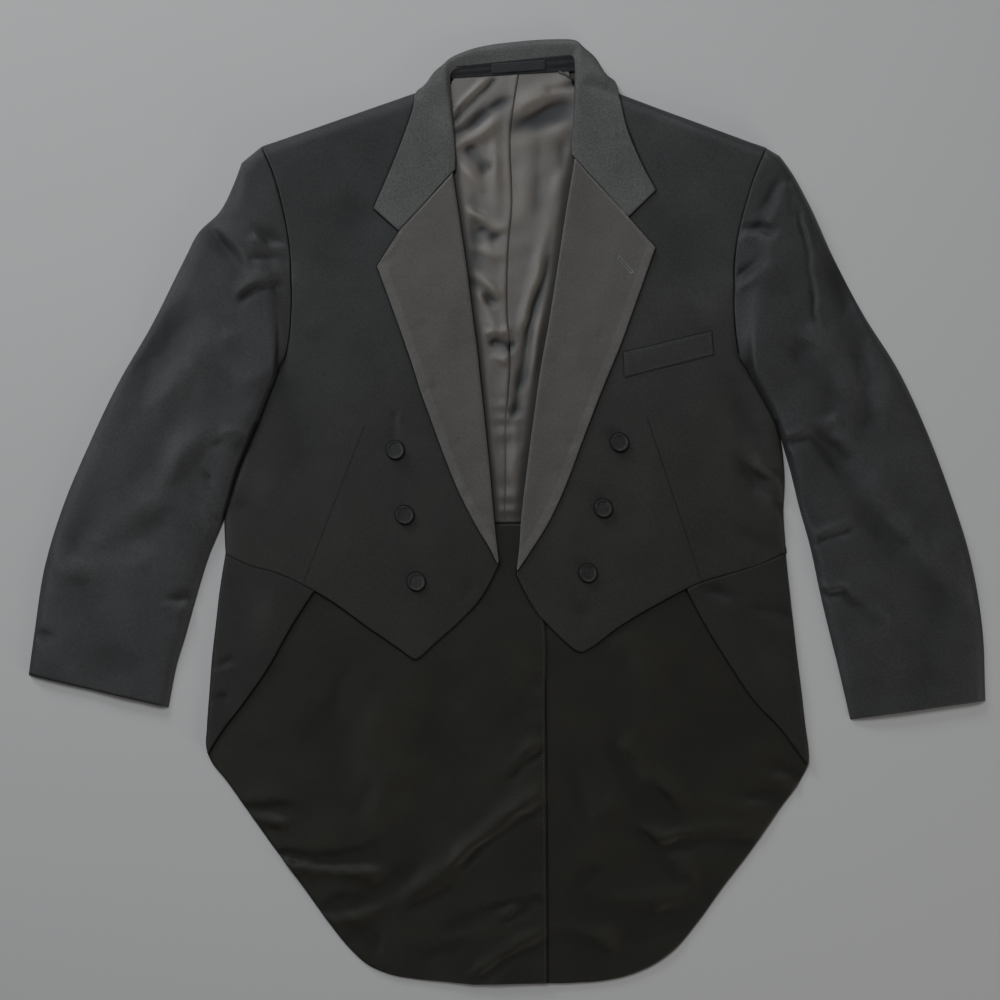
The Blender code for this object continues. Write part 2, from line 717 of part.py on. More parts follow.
def collar_stand():
    grid = []
    for row in range(3):
        grid.append([])
        for c in range(9):
            x = lerp(STAND["right_x"], STAND["left_x"], c / 8)
            depth = STAND["depth"] + STAND["slant"] * (x - COLLAR_MIDDLE_X)
            y = NECK_SEAM_Y + 2 * SEAM_GAP + depth * row / 2
            grid[-1].append((x, y, STAND["foot"], STAND["foot"] + STAND["wall"]))
    return slab("collar_stand", grid, "wool")


def neck_label():
    top = STAND["foot"] + STAND["wall"] + SEAM_GAP
    grid = []
    for row in range(2):
        grid.append([])
        for c in range(5):
            x = LABEL["x"] + LABEL["length"] * (c / 4 - 0.5)
            y = NECK_SEAM_Y + 2.5 + LABEL["slant"] * (x - COLLAR_MIDDLE_X) + (LABEL["depth"] - 2) * row
            grid[-1].append((x, y, top, top + LABEL["wall"]))
    return slab("neck_label", grid, "label")


def hanger_loop():
    start, end = LOOP["start"], LOOP["end"]
    grid = []
    for row in range(2):
        grid.append([])
        for c in range(5):
            x, y = lerp(start.x, end.x, c / 4), lerp(start.y, end.y, c / 4)
            y += LOOP["width"] * (row - 0.5)
            foot = LOOP["foot"]
            grid[-1].append((x, y, foot, foot + LOOP["wall"]))
    return slab("hanger_loop", grid, "wool")


def breast_welt():
    top_in, top_out, low_in, low_out = WELT_CORNERS
    grid = []
    for row in range(3):
        grid.append([])
        for c in range(5):
            x = lerp(lerp(top_in.x, top_out.x, c / 4), lerp(low_in.x, low_out.x, c / 4), row / 2)
            y = lerp(lerp(top_in.y, top_out.y, c / 4), lerp(low_in.y, low_out.y, c / 4), row / 2)
            foot = crown(x, y) + SEAM_GAP
            grid[-1].append((x, y, foot, foot + WELT_WALL))
    return slab("breast_welt", grid, "wool")


def button(side, number, spot):
    """A cloth-covered button: a turned disc with a rounded rim, set just clear of its front."""
    heights = [
        crown(spot.x + BUTTON_RADIUS * math.cos(a), spot.y + BUTTON_RADIUS * math.sin(a))
        for a in (0, 1, 2, 3, 4, 5, 6)
    ]
    bm = bmesh.new()
    bmesh.ops.create_cone(
        bm,
        cap_ends=True,
        segments=18,
        radius1=BUTTON_RADIUS * MM,
        radius2=BUTTON_RADIUS * MM,
        depth=BUTTON_HEIGHT * MM,
    )
    mesh = bpy.data.meshes.new(f"button_{side}_{number}")
    bm.to_mesh(mesh)
    bm.free()
    mesh.shade_smooth()
    mesh.set_sharp_from_angle(angle=math.radians(40))
    piece = add_object(f"button_{side}_{number}", mesh, "button_cover")
    height = max(heights) + SEAM_GAP + BUTTON_HEIGHT / 2
    piece.location = (spot.x * MM, spot.y * MM, height * MM)
    rim = piece.modifiers.new("rim", "BEVEL")
    rim.width = 1.2 * MM
    rim.segments = 1
    rim.limit_method = "ANGLE"
    return piece


for leftover in list(bpy.data.objects):
    bpy.data.objects.remove(leftover)

coat = bpy.data.collections.new("tailcoat")
bpy.context.scene.collection.children.link(coat)

for side in SIDES:
    back(side)
    side_body(side)
    skirt(side)
    tail_lining(side)
    body_lining(side)
    front(side)
    top_sleeve(side)
    under_sleeve(side)
    lapel(side)
    for number, spot in enumerate(BUTTONS[side], 1):
        button(side, number, spot)

upper_collar()
collar_stand()
neck_label()
hanger_loop()
breast_welt()
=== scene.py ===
import math
from collections import namedtuple

import bmesh
import bpy
import numpy as np
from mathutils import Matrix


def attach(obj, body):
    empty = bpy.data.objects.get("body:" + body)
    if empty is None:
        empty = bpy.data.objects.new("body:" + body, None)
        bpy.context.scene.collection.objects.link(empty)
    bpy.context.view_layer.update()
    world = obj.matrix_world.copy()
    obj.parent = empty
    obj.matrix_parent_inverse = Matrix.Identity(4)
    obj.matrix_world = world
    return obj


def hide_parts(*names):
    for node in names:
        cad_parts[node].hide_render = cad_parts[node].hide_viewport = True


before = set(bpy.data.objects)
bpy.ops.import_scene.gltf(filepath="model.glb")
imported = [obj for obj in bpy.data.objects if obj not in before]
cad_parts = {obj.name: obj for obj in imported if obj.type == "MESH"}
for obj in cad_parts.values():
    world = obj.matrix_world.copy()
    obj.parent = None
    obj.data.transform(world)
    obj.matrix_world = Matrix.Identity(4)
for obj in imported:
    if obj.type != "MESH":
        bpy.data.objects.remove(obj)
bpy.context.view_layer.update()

# Back panels: two halves of worsted wool, joined down the middle, each cut in one with the middle
# strip of its tail. They lie flat under the rest of the coat, with their outer face down.
# Lengths in this file are millimetres, and become metres when a mesh is made. BED is the height of
# the cloth's outer face where it lies on the floor.

MM = 0.001
SIDES = {"right": -1, "left": 1}
SEAM_GAP = 0.3
ARMPIT_Y = 152
WAIST_Y = -41.5
HEM_Y = -495
VENT_TOP_Y = -116
VENT_EDGE_X = 41
COLLAR_MIDDLE_X = 7
NECK_Y = 461
NECK_SLOPE = 0.058
BED = 0.12

# Sections down each front: its inner edge, its outer edge, and how far that edge folds down.
# The first ten end on the armhole; from the fifth down, the inner edge is the lapel's roll.
FrontRow = namedtuple("FrontRow", "in_x in_y out_x out_y fold")
FRONT = {
    "right": [FrontRow(*row) for row in (
        (-84, 446, -258, 386, 0), (-76, 436, -254, 378, 0), (-70, 422, -247, 363, 0),
        (-63, 392, -237, 330, 0), (-57, 357, -229, 288, 0), (-49, 304, -226, 240, 0),
        (-41, 248, -227, 203, 0), (-35, 200, -230, 178, 0.3), (-31, 170, -234, 162, 0.7),
        (-29, 150, -240, 152, 1), (-23, 95, -263, 96, 1), (-18, 45, -284, 46, 1), (-14, 0, -297, 0, 1),
        (-11, -30, -297, -26, 1),
    )],
    "left": [FrontRow(*row) for row in (
        (98, 448, 272, 385, 0), (90, 438, 268, 376, 0), (84, 424, 261, 360, 0), (77, 396, 250, 326, 0),
        (71, 372, 241, 286, 0), (60, 305, 238, 240, 0), (51, 245, 239, 203, 0),
        (43, 195, 242, 178, 0.3), (38, 168, 246, 162, 0.7), (35, 150, 253, 152, 1),
        (27, 92, 283, 98, 1), (20, 38, 292, 42, 1), (15, -5, 291, 0, 1), (12, -45, 293, -30, 1),
    )],
}
ARMHOLE_ROWS = 10

# The curved seam between a back and its side body, from the armhole down to the waist.
BackSeam = namedtuple("BackSeam", "y x")
BACK_SEAM = [BackSeam(*row) for row in (
    (203, 232), (150, 152), (100, 116), (50, 88), (0, 70), (-41.5, 64),
)]

# The tails below the waist: the height up the page of a cross line at the vent, and the outer end
# of that line on each side. The last few lines end on the rounded hem.
TailRow = namedtuple("TailRow", "vent_y right_x right_y left_x left_y seam_x")
TAIL = [TailRow(*row) for row in (
    (-42, -296, -42, 293, -42, 64), (-80, -302, -80, 297, -80, 66), (-115, -306, -115, 301, -115, 68),
    (-150, -310, -150, 305, -150, 70), (-190, -313, -190, 310, -190, 73),
    (-225, -315.5, -225, 314, -225, 76), (-246, -316, -246, 317, -248, 77),
    (-262, -311, -260, 317, -262, 78), (-278, -296, -279, 309, -279, 79),
    (-310, -274, -310, 287, -310, 80), (-352, -244, -352, 258, -352, 83),
    (-394, -213, -394, 226, -394, 86), (-428, -187, -430, 200, -430, 88),
    (-450, -166, -456, 175, -459, 90), (-466, -146, -474, 152, -475, 91),
    (-478, -124, -483.5, 126, -485.5, 91), (-486, -98, -488.5, 98, -491, 91),
    (-490.5, -66, -491.5, 74, -492.5, 74), (-493.5, -36, -494.5, 56, -493, 56),
)]
ABOVE_HEM = 14


def lerp(a, b, t):
    return a + (b - a) * t


def smooth(t):
    t = np.clip(t, 0.0, 1.0)
    return t * t * (3 - 2 * t)


def rounded(distance, radius):
    """0 at an edge, rising like a quarter circle to 1 at the given radius from it."""
    t = np.clip(distance / radius, 0.0, 1.0)
    return np.sqrt(1 - (1 - t) ** 2)


def curve_at(knots, places, wanted):
    """A smooth curve through the knots, which stand at the given places, read where it is wanted."""
    knots, places = np.asarray(knots, float), np.asarray(places, float)
    wanted = np.asarray(wanted, float)
    slopes = np.gradient(knots, places, axis=0)
    index = np.clip(np.searchsorted(places, wanted, side="right") - 1, 0, len(places) - 2)
    span = places[index + 1] - places[index]
    t = np.clip((wanted - places[index]) / span, 0, 1)
    if knots.ndim > 1:
        t, span = t[:, None], span[:, None]
    a, b = knots[index], knots[index + 1]
    start, end = slopes[index] * span, slopes[index + 1] * span
    return a + t * start + t**2 * (3 * (b - a) - 2 * start - end) + t**3 * (2 * (a - b) + start + end)


def along(rows, key, column, wanted):
    """Reads a column of a table on a smooth curve over its key column."""
    ordered = sorted(rows, key=lambda row: getattr(row, key))
    places = [getattr(row, key) for row in ordered]
    return curve_at([getattr(row, column) for row in ordered], places, wanted)


def tail_end(side, row):
    """X and Y of the outer end of a tail's cross line."""
    return getattr(row, f"{side}_x"), getattr(row, f"{side}_y")


def tail_edge(side, y):
    """X of the tail's outer edge at each height above the hem's curve."""
    rows = [BackSeam(*tail_end(side, row)[::-1]) for row in TAIL[:ABOVE_HEM]]
    return along(rows, "y", "x", y)


def refined(rows, step, corners=()):
    """A table's rows with more rows between them, on smooth curves that break only at corners."""
    knots = np.array(rows, float)
    bounds = [0, *corners, len(knots) - 1]
    parts = []
    for first, last in zip(bounds, bounds[1:]):
        part = knots[first : last + 1]
        moves = np.diff(part, axis=0)
        moved = np.maximum(np.hypot(moves[:, 0], moves[:, 1]), np.hypot(moves[:, 2], moves[:, 3]))
        places = np.concatenate([[0], np.cumsum(moved)])
        count = max(int(places[-1] / step), 2)
        made = curve_at(part, places, np.linspace(0, places[-1], count + 1))
        parts.append(made if last == len(knots) - 1 else made[:-1])
    return np.concatenate(parts)


def shares(width, step, tight=(0, 0.4, 1.0, 2.0, 3.6)):
    """Shares of a width, a step apart and closer together at both edges, for crisp edges."""
    tight = np.array(tight, float)
    middle = np.linspace(tight[-1], width - tight[-1], max(int(width / step), 3))[1:-1]
    return np.concatenate([tight, middle, (width - tight)[::-1]]) / width


def spread(start, end, share):
    """Points across from each start point to its end point: arrays x and y, a row for each pair."""
    x = lerp(start[:, :1], end[:, :1], share)
    y = lerp(start[:, 1:2], end[:, 1:2], share)
    return x, y


def drape(x, y, seed, size, height):
    """Slow uneven waves, as cloth keeps when it has been laid down and smoothed by hand."""
    chance = np.random.default_rng(seed)
    total = np.zeros_like(x)
    for wave in range(8):
        angle, start = chance.uniform(0, math.pi), chance.uniform(0, 6.28)
        length = size * chance.uniform(0.5, 1.6)
        bent = 1.2 * np.sin((x * math.sin(angle) - y * math.cos(angle)) / (length * 0.9) + wave)
        total += np.sin((x * math.cos(angle) + y * math.sin(angle)) * 6.28 / length + start + bent)
    return height * total / 3


def shoulder_y(x):
    """The height up the page of the shoulder line above x."""
    total = np.zeros_like(x, dtype=float)
    for side, sign in SIDES.items():
        neck = FRONT[side][0]
        slope = (neck.out_y - neck.in_y) / (neck.out_x - neck.in_x)
        total = np.where(x * sign > 0, neck.in_y + slope * (x - neck.in_x), total)
    return total


def node_group(name, inputs, outputs):
    """An empty shader group with named sockets, its way in and its way out."""
    group = bpy.data.node_groups.new(name, "ShaderNodeTree")
    for label, kind, value in inputs:
        group.interface.new_socket(label, in_out="INPUT", socket_type=kind).default_value = value
    for label in outputs:
        group.interface.new_socket(label, in_out="OUTPUT", socket_type="NodeSocketFloat")
    return group, group.nodes.new("NodeGroupInput"), group.nodes.new("NodeGroupOutput")


def maths(tree, operation, *values):
    """A Math node whose inputs are linked from sockets or set to numbers."""
    node = tree.nodes.new("ShaderNodeMath")
    node.operation = operation
    for socket, value in zip(node.inputs, values):
        if isinstance(value, bpy.types.NodeSocket):
            tree.links.new(value, socket)
        else:
            socket.default_value = value
    return node.outputs[0]


def clamped(tree, value):
    """The value held between 0 and 1."""
    return maths(tree, "MINIMUM", maths(tree, "MAXIMUM", value, 0.0), 1.0)


def vector_node(tree, operation, first, second, output="Vector"):
    """A Vector Math node whose inputs are linked from sockets or set to values."""
    node = tree.nodes.new("ShaderNodeVectorMath")
    node.operation = operation
    sockets = (node.inputs[0], node.inputs["Scale"] if operation == "SCALE" else node.inputs[1])
    for socket, value in zip(sockets, (first, second)):
        if isinstance(value, bpy.types.NodeSocket):
            tree.links.new(value, socket)
        else:
            socket.default_value = value
    return node.outputs[output]


def noise(tree, place, scale, detail):
    node = tree.nodes.new("ShaderNodeTexNoise")
    node.inputs["Scale"].default_value = scale
    node.inputs["Detail"].default_value = detail
    tree.links.new(place, node.inputs["Vector"])
    return maths(tree, "SUBTRACT", node.outputs["Fac"], 0.5)


def twill_group():
    """Threads of a woven cloth: a diagonal wale, cross threads, stray fibres and slow mottling."""
    sizes = [("Wale", "NodeSocketFloat", 0.00055), ("Fibre", "NodeSocketFloat", 0.5)]
    sizes += [("Mottle", "NodeSocketFloat", 0.2), ("Thread", "NodeSocketFloat", 0.12)]
    group, way_in, way_out = node_group("twill", sizes, ["Tone", "Height"])
    place = group.nodes.new("ShaderNodeTexCoord").outputs["Object"]
    turns = maths(group, "DIVIDE", 2 * math.pi, way_in.outputs["Wale"])
    waves = []
    for direction in ((0.8, 1.0, 0.6), (1.0, -0.55, 0.5)):
        along_it = vector_node(group, "DOT_PRODUCT", place, direction, "Value")
        waves.append(maths(group, "SINE", maths(group, "MULTIPLY", along_it, turns)))
    threads = maths(group, "MULTIPLY_ADD", waves[1], 0.5, waves[0])
    stray = maths(group, "MULTIPLY", noise(group, place, 520.0, 4.0), way_in.outputs["Fibre"])
    slow = maths(group, "MULTIPLY", noise(group, place, 24.0, 5.0), way_in.outputs["Mottle"])
    tone = maths(group, "MULTIPLY_ADD", threads, way_in.outputs["Thread"], 1.0)
    tone = maths(group, "ADD", maths(group, "ADD", tone, stray), slow)
    group.links.new(tone, way_out.inputs["Tone"])
    group.links.new(maths(group, "MULTIPLY_ADD", stray, 3.0, threads), way_out.inputs["Height"])
    return group


TWILL = twill_group()


def seam_line_group():
    """A fine sewn line between two places: 1 on the line, fading to 0 a width away from it."""
    sizes = [("From", "NodeSocketVector", (0, 0, 0)), ("To", "NodeSocketVector", (0, 0, 0))]
    sizes += [("Width", "NodeSocketFloat", 0.0012)]
    group, way_in, way_out = node_group("seam_line", sizes, ["Line"])
    place = group.nodes.new("ShaderNodeTexCoord").outputs["Object"]
    flat = vector_node(group, "MULTIPLY", place, (1, 1, 0))
    start = way_in.outputs["From"]
    run = vector_node(group, "SUBTRACT", way_in.outputs["To"], start)
    out = vector_node(group, "SUBTRACT", flat, start)
    along_run = vector_node(group, "DOT_PRODUCT", out, run, "Value")
    run_square = vector_node(group, "DOT_PRODUCT", run, run, "Value")
    share = clamped(group, maths(group, "DIVIDE", along_run, run_square))
    away = vector_node(group, "DISTANCE", out, vector_node(group, "SCALE", run, share), "Value")
    near = maths(group, "DIVIDE", away, way_in.outputs["Width"])
    near = maths(group, "SUBTRACT", 1.0, near)
    group.links.new(maths(group, "MAXIMUM", near, 0.0), way_out.inputs["Line"])
    return group


SEAM_LINE = seam_line_group()


def sewn_line(tree, start, end, width):
    """1 on a seam drawn on a cloth between two places, fading to 0 beside it."""
    line = tree.nodes.new("ShaderNodeGroup")
    line.node_tree = SEAM_LINE
    line.inputs["From"].default_value = (start[0] * MM, start[1] * MM, 0)
    line.inputs["To"].default_value = (end[0] * MM, end[1] * MM, 0)
    line.inputs["Width"].default_value = width * MM
    return line.outputs["Line"]


def marked(tree, name):
    """The mark that a cloth's mesh carries under this name."""
    mark = tree.nodes.new("ShaderNodeAttribute")
    mark.attribute_name = name
    return mark.outputs["Fac"]


def cloth(
    name, colour, upper=None, seams=(), rough=0.52, sheen=0.0, wale=0.00055,
    fibre=1.3, mottle=0.7, thread=0.12, bump=0.5, gloss=0.35, fold_shade_strength=0.45,
):
    """A woven cloth whose colour, roughness and height follow its threads, folds and sewn lines.

    Its colour also carries painted shade: darker and rougher near the edge of a cloth lying on top
    of it, darker in the troughs of its folds and a little lighter on their crests. With an upper
    colour, the cloth changes towards it up the coat, from the waist to the shoulder: painted light,
    lighter higher up where more of the light from above falls.
    The usual values are those of the coat's worsted wool.
    """
    material = bpy.data.materials.new(name)
    material.use_nodes = True
    tree = material.node_tree
    shader = tree.nodes["Principled BSDF"]
    weave = tree.nodes.new("ShaderNodeGroup")
    weave.node_tree = TWILL
    for label, value in (("Wale", wale), ("Fibre", fibre), ("Mottle", mottle), ("Thread", thread)):
        weave.inputs[label].default_value = value
    tone, height = weave.outputs["Tone"], weave.outputs["Height"]
    for start, end in seams:
        line = sewn_line(tree, start, end, 1.3)
        tone = maths(tree, "MULTIPLY_ADD", line, -0.7, tone)
        height = maths(tree, "MULTIPLY_ADD", line, -4.0, height)
    # Painted shadow: darker and rougher where the edge of a cloth on top lies near.
    shade = clamped(tree, marked(tree, "painted_contact_shadow"))
    tone = maths(tree, "MULTIPLY", tone, maths(tree, "MULTIPLY_ADD", shade, -0.85, 1.0))
    # Painted shade in the troughs of the folds, and a little painted light on their crests.
    painted_fold_factor = maths(tree, "MULTIPLY_ADD", marked(tree, "painted_fold_shade"), fold_shade_strength, 1.0)
    tone = maths(tree, "MULTIPLY", tone, painted_fold_factor)
    colour_with_painted_light = colour
    # Painted light: the colour turns towards the lighter upper one up the coat.
    if upper:
        place = tree.nodes.new("ShaderNodeSeparateXYZ")
        tree.links.new(tree.nodes.new("ShaderNodeTexCoord").outputs["Object"], place.inputs[0])
        climbed = clamped(tree, maths(tree, "MULTIPLY_ADD", place.outputs["Y"], 1 / 0.4, 0.05 / 0.4))
        climb = tree.nodes.new("ShaderNodeVectorMath")
        climb.operation = "MULTIPLY_ADD"
        tree.links.new(climbed, climb.inputs[0])
        climb.inputs[1].default_value = [high - low for high, low in zip(upper, colour)]
        climb.inputs[2].default_value = colour
        colour_with_painted_light = climb.outputs["Vector"]
    tree.links.new(vector_node(tree, "SCALE", colour_with_painted_light, tone), shader.inputs["Base Color"])
    shine = maths(tree, "MULTIPLY_ADD", weave.outputs["Tone"], -0.1, rough + 0.1)
    shine = maths(tree, "MULTIPLY_ADD", shade, 0.45, shine)
    tree.links.new(shine, shader.inputs["Roughness"])
    raised = tree.nodes.new("ShaderNodeBump")
    raised.inputs["Strength"].default_value = bump
    raised.inputs["Distance"].default_value = 0.00012
    tree.links.new(height, raised.inputs["Height"])
    tree.links.new(raised.outputs["Normal"], shader.inputs["Normal"])
    shader.inputs["Sheen Weight"].default_value = sheen
    shader.inputs["Sheen Roughness"].default_value = 0.5
    shader.inputs["Specular IOR Level"].default_value = gloss
    return material


def cloth_piece(name, x, y, z, thickness, material, faces_up=True):
    """A sheet of cloth from grids of places on its outer face, with its wall behind that face."""
    rows, columns = x.shape
    index = np.arange(rows * columns).reshape(rows, columns)
    quads = np.stack([index[:-1, :-1], index[:-1, 1:], index[1:, 1:], index[1:, :-1]], axis=-1)
    grid = np.stack([x, y, z], axis=-1)
    normals = np.cross(grid[:-1, 1:] - grid[:-1, :-1], grid[1:, :-1] - grid[:-1, :-1])
    if (normals[..., 2].sum() < 0) != faces_up:
        quads = quads[..., ::-1]
    mesh = bpy.data.meshes.new(name)
    mesh.from_pydata((grid.reshape(-1, 3) * MM).tolist(), [], quads.reshape(-1, 4)[:, ::-1].tolist())
    mesh.materials.append(material)
    mesh.shade_smooth()
    piece = bpy.data.objects.new(name, mesh)
    bpy.context.scene.collection.objects.link(piece)
    wall = piece.modifiers.new("wall", "SOLIDIFY")
    wall.thickness = thickness * MM
    wall.offset = -1
    return piece


def paint_contact_shadow(piece, outlines, x, y, width):
    """Marks how near each place on a cloth lies to the edge of a cloth on top of it, where the cloth's
    material paints a shadow.
    """
    near = np.max([1 - outside(outline, x, y) / width for outline in outlines], axis=0)
    if "painted_contact_shadow" in piece.data.attributes:
        earlier = np.empty(near.size, np.float32)
        piece.data.attributes["painted_contact_shadow"].data.foreach_get("value", earlier)
        near = np.maximum(near.reshape(-1), earlier)
    else:
        piece.data.attributes.new("painted_contact_shadow", "FLOAT", "POINT")
    near = np.clip(near, -5, 2).reshape(-1).astype(np.float32)
    piece.data.attributes["painted_contact_shadow"].data.foreach_set("value", near)


def paint_fold_shade(piece, waves, depth):
    """Marks the troughs of a cloth's folds, painted darker as shade, and their crests, painted a little
    lighter.
    """
    mark = piece.data.attributes.new("painted_fold_shade", "FLOAT", "POINT")
    deep = np.tanh(waves / depth) * np.where(waves > 0, 0.5, 1.0)
    mark.data.foreach_set("value", deep.reshape(-1).astype(np.float32))


def sew_in(piece, nodes):
    """Sets a sheet on the body in place of its CAD nodes."""
    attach(piece, "root")
    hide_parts(*nodes)


wool_back = cloth("wool_back", (0.0092, 0.0086, 0.0066))


def back_lap(side, x, y):
    """0 to 1: where the right back's strip rises to lap over the left one beside the vent."""
    if side == "left":
        return np.zeros_like(x)
    return smooth((x + 13) / 11) * smooth((VENT_TOP_Y + 3 - y) / 6)


FLAP = {
    "right": [(-202, -80), (-226, -117), (-250, -160), (-276, -197.5), (-298, -226), (-314, -251)],
    "left": [(189, -80), (207, -114), (227, -147), (258, -194), (287, -225), (315, -263)],
}
FRONT_LOWER_EDGE = {
    "right": [
        (-8, -52), (-24, -83), (-49, -112), (-77, -137), (-89, -148.5), (-94, -152), (-96.5, -153),
        (-99.5, -152), (-106, -147.2), (-121.5, -136.2), (-148, -118), (-175, -98), (-205, -79),
        (-243, -61), (-269, -54), (-296, -41),
    ],
    "left": [
        (10, -64), (24, -92), (50, -124), (66, -139), (72, -143.5), (79, -145), (87, -141),
        (114, -121), (164, -91), (188, -78.5), (200, -73), (232, -63), (261, -54), (293, -40.5),
    ],
}
Fold = namedtuple("Fold", "x0 y0 x1 y1 width rise bend", defaults=[0])
TAIL_FOLDS = [Fold(*row) for row in (
    (-246, -357, -196, -367, 5, -1.2), (-200, -367, -128, -348, 6, -1.4, -4),
    (-193, -413, -95, -375, 7, -1.5, -5), (-168, -441, -132, -456, 9, -1.3),
    (-106, -416, -58, -396, 6, -1.0), (-34, -415, 40, -402, 5, -1.1, -3),
    (-168, -160, -185, -213, 6, -0.7), (-140, -270, -158, -330, 9, -0.8),
    (-70, -440, -10, -416, 7, -0.9), (-96, -470, -40, -452, 9, -0.8), (-284, -300, -210, -296, 10, 0.8),
    (60, -250, 90, -340, 9, -0.9), (230, -300, 290, -296, 6, -0.9, 2),
    (150, -270, 196, -350, 7, -1.0, -3), (60, -400, 100, -372, 8, -0.9),
    (120, -450, 190, -432, 10, -0.8), (-300, -313, -226, -313, 6, -1.3, 3),
    (-300, -322, -228, -324, 7, 1.6, 3), (-255, -356, -128, -364, 7, -1.7, -3),
    (-250, -366, -130, -376, 9, 2.2, -3), (-205, -418, -128, -402, 6, -1.0, -4),
    (-210, -428, -124, -412, 8, 1.2, -4), (2, -279, 40, -244, 5, -1.1), (-4, -272, 34, -238, 6, 1.1),
    (-56, -376, 40, -304, 6, -1.5, 4), (-62, -368, 36, -294, 8, 1.7, 4), (-8, -430, 42, -405, 5, -1.1),
    (-6, -420, 42, -395, 6, 1.0), (-32, -494, 42, -445, 6, -1.2, 3), (-36, -484, 42, -436, 7, 1.3, 3),
    (-112, -408, 42, -276, 12, 1.8, -4), (-160, -300, -60, -262, 18, 1.0, 6),
    (-200, -200, -150, -320, 22, -0.9), (-130, -190, -150, -330, 24, 1.0),
    (-60, -160, -92, -300, 20, -0.9), (108, -240, 176, -316, 11, -1.7, -4),
    (122, -238, 190, -312, 13, 1.9, -4), (132, -330, 186, -394, 8, -1.3, 3),
    (146, -328, 200, -388, 9, 1.3, 3), (158, -352, 262, -346, 8, -1.5, 5),
    (158, -342, 262, -334, 9, 1.5, 5), (274, -262, 318, -279, 6, -1.1), (268, -270, 312, -290, 7, 1.0),
    (40, -444, 112, -466, 10, -1.1, 3), (46, -432, 116, -454, 11, 1.2, 3),
    (98, -417, 204, -417, 13, -1.2, -5), (98, -402, 204, -400, 13, 1.2, -5),
    (86, -84, 128, -150, 9, 1.3), (100, -92, 146, -160, 9, -1.2), (118, -110, 168, -200, 12, 1.2),
    (66, -330, 130, -300, 15, 1.0), (205, -300, 280, -318, 12, 0.9),
)]
TAIL_FOLD_RISE = 2.3
VENT_EDGE = [BackSeam(*row) for row in (
    (-10, 25), (-64, 27), (-92, 34), (-110, 38.4), (-195, 40), (-350, 41.4), (-495, 42),
)]


def folds(x, y, rows, wander=1.4):
    """How far soft folds lift a cloth at each place, or lower it where their rise is negative."""
    total = np.zeros_like(x)
    x, y = x + drape(x, y, 71, 38, wander), y + drape(x, y, 73, 38, wander)
    for row in rows:
        length = math.hypot(row.x1 - row.x0, row.y1 - row.y0)
        ux, uy = (row.x1 - row.x0) / length, (row.y1 - row.y0) / length
        t = ((x - row.x0) * ux + (y - row.y0) * uy) / length
        inside = np.clip(t, 0, 1)
        off = (y - row.y0) * ux - (x - row.x0) * uy - row.bend * 4 * inside * (1 - inside)
        fade = smooth((t + 0.08) / 0.3) * smooth((1.08 - t) / 0.3)
        uneven = 1 + 0.4 * np.sin(7 * t + row.x0)
        total += row.rise * uneven * fade * np.exp(-((off / (row.width * (0.8 + 0.4 * inside))) ** 2))
    return total


def held_up(waves, depth):
    """The waves of a cloth, their troughs eased so that none goes deeper than the depth."""
    return np.where(waves < 0, depth * np.tanh(waves / depth), waves)


def lower_line(side, x):
    """The height up the page of a front's lower edge above each x."""
    lower = np.array(sorted(FRONT_LOWER_EDGE[side]), float)
    return curve_at(lower[:, 1], lower[:, 0], np.clip(x, lower[0, 0], lower[-1, 0]))


def outside(outline, x, y):
    """How far each place lies outside a closed outline: negative inside it."""
    away = np.full(np.shape(x), 1000.0)
    inside = np.zeros(np.shape(x), bool)
    for (ax, ay), (bx, by) in zip(outline, outline[1:] + outline[:1]):
        run_x, run_y = bx - ax, by - ay
        t = np.clip(((x - ax) * run_x + (y - ay) * run_y) / (run_x**2 + run_y**2 + 1e-9), 0, 1)
        away = np.minimum(away, np.hypot(x - ax - t * run_x, y - ay - t * run_y))
        crossed = (ay > y) != (by > y)
        inside = inside ^ (crossed & (x < ax + run_x * (y - ay) / (run_y + 1e-9)))
    return np.where(inside, -away, away)


def front_outline(side):
    """The outline of a front from its roll to its side, and down to its lower edge."""
    xs = np.linspace(FRONT_LOWER_EDGE[side][0][0], FRONT_LOWER_EDGE[side][-1][0], 90)
    low = list(zip(xs.tolist(), lower_line(side, xs).tolist()))
    roll = [(row.in_x + SIDES[side] * 2.2, row.in_y) for row in FRONT[side]]
    return [*roll, *low, *[(row.out_x, row.out_y) for row in reversed(FRONT[side])]]


def flap_outline(side):
    """The outline of a front flap: its slanting edge, then well beyond the coat's side."""
    flap = np.array(FLAP[side], float)
    edge = curve_at(flap, np.linspace(0, 1, len(flap)), np.linspace(0, 1, 40)).tolist()
    beyond_x = SIDES[side] * 360
    return [*map(tuple, edge), (beyond_x, flap[-1, 1]), (beyond_x, -30), (flap[0, 0], -60)]


FRONT_OUTLINES = [front_outline(side) for side in SIDES]
FLAP_OUTLINES = [flap_outline(side) for side in SIDES]


def tails_top(x, y):
    """The height of the tails' inner face: nearly flat, with long soft folds pushed in by hand."""
    waves = drape(x, y, 11, 110, 0.7) + TAIL_FOLD_RISE * folds(x, y, TAIL_FOLDS)
    waves = waves + drape(x, y, 13, 42, 0.25)
    clear = np.min([outside(line, x, y) for line in FRONT_OUTLINES], axis=0)
    flaps = np.min([outside(line, x, y) for line in FLAP_OUTLINES], axis=0)
    waves = waves * smooth(clear / 16) * (0.1 + 0.9 * smooth(flaps / 12))
    puckers = 0.4 * np.sin(y / 5.2 + 2 * np.sin(y / 31)) * np.exp(-(((x - 33) / 10) ** 2)) * (x < 43)
    free = smooth((-84 - y) / 60)
    lapped = np.exp(-(((x - 55) / 16) ** 2)) * (x > 43)
    return 3.1 + 0.9 * free + held_up((waves + puckers) * free * (1 - 0.7 * lapped), 1.8)


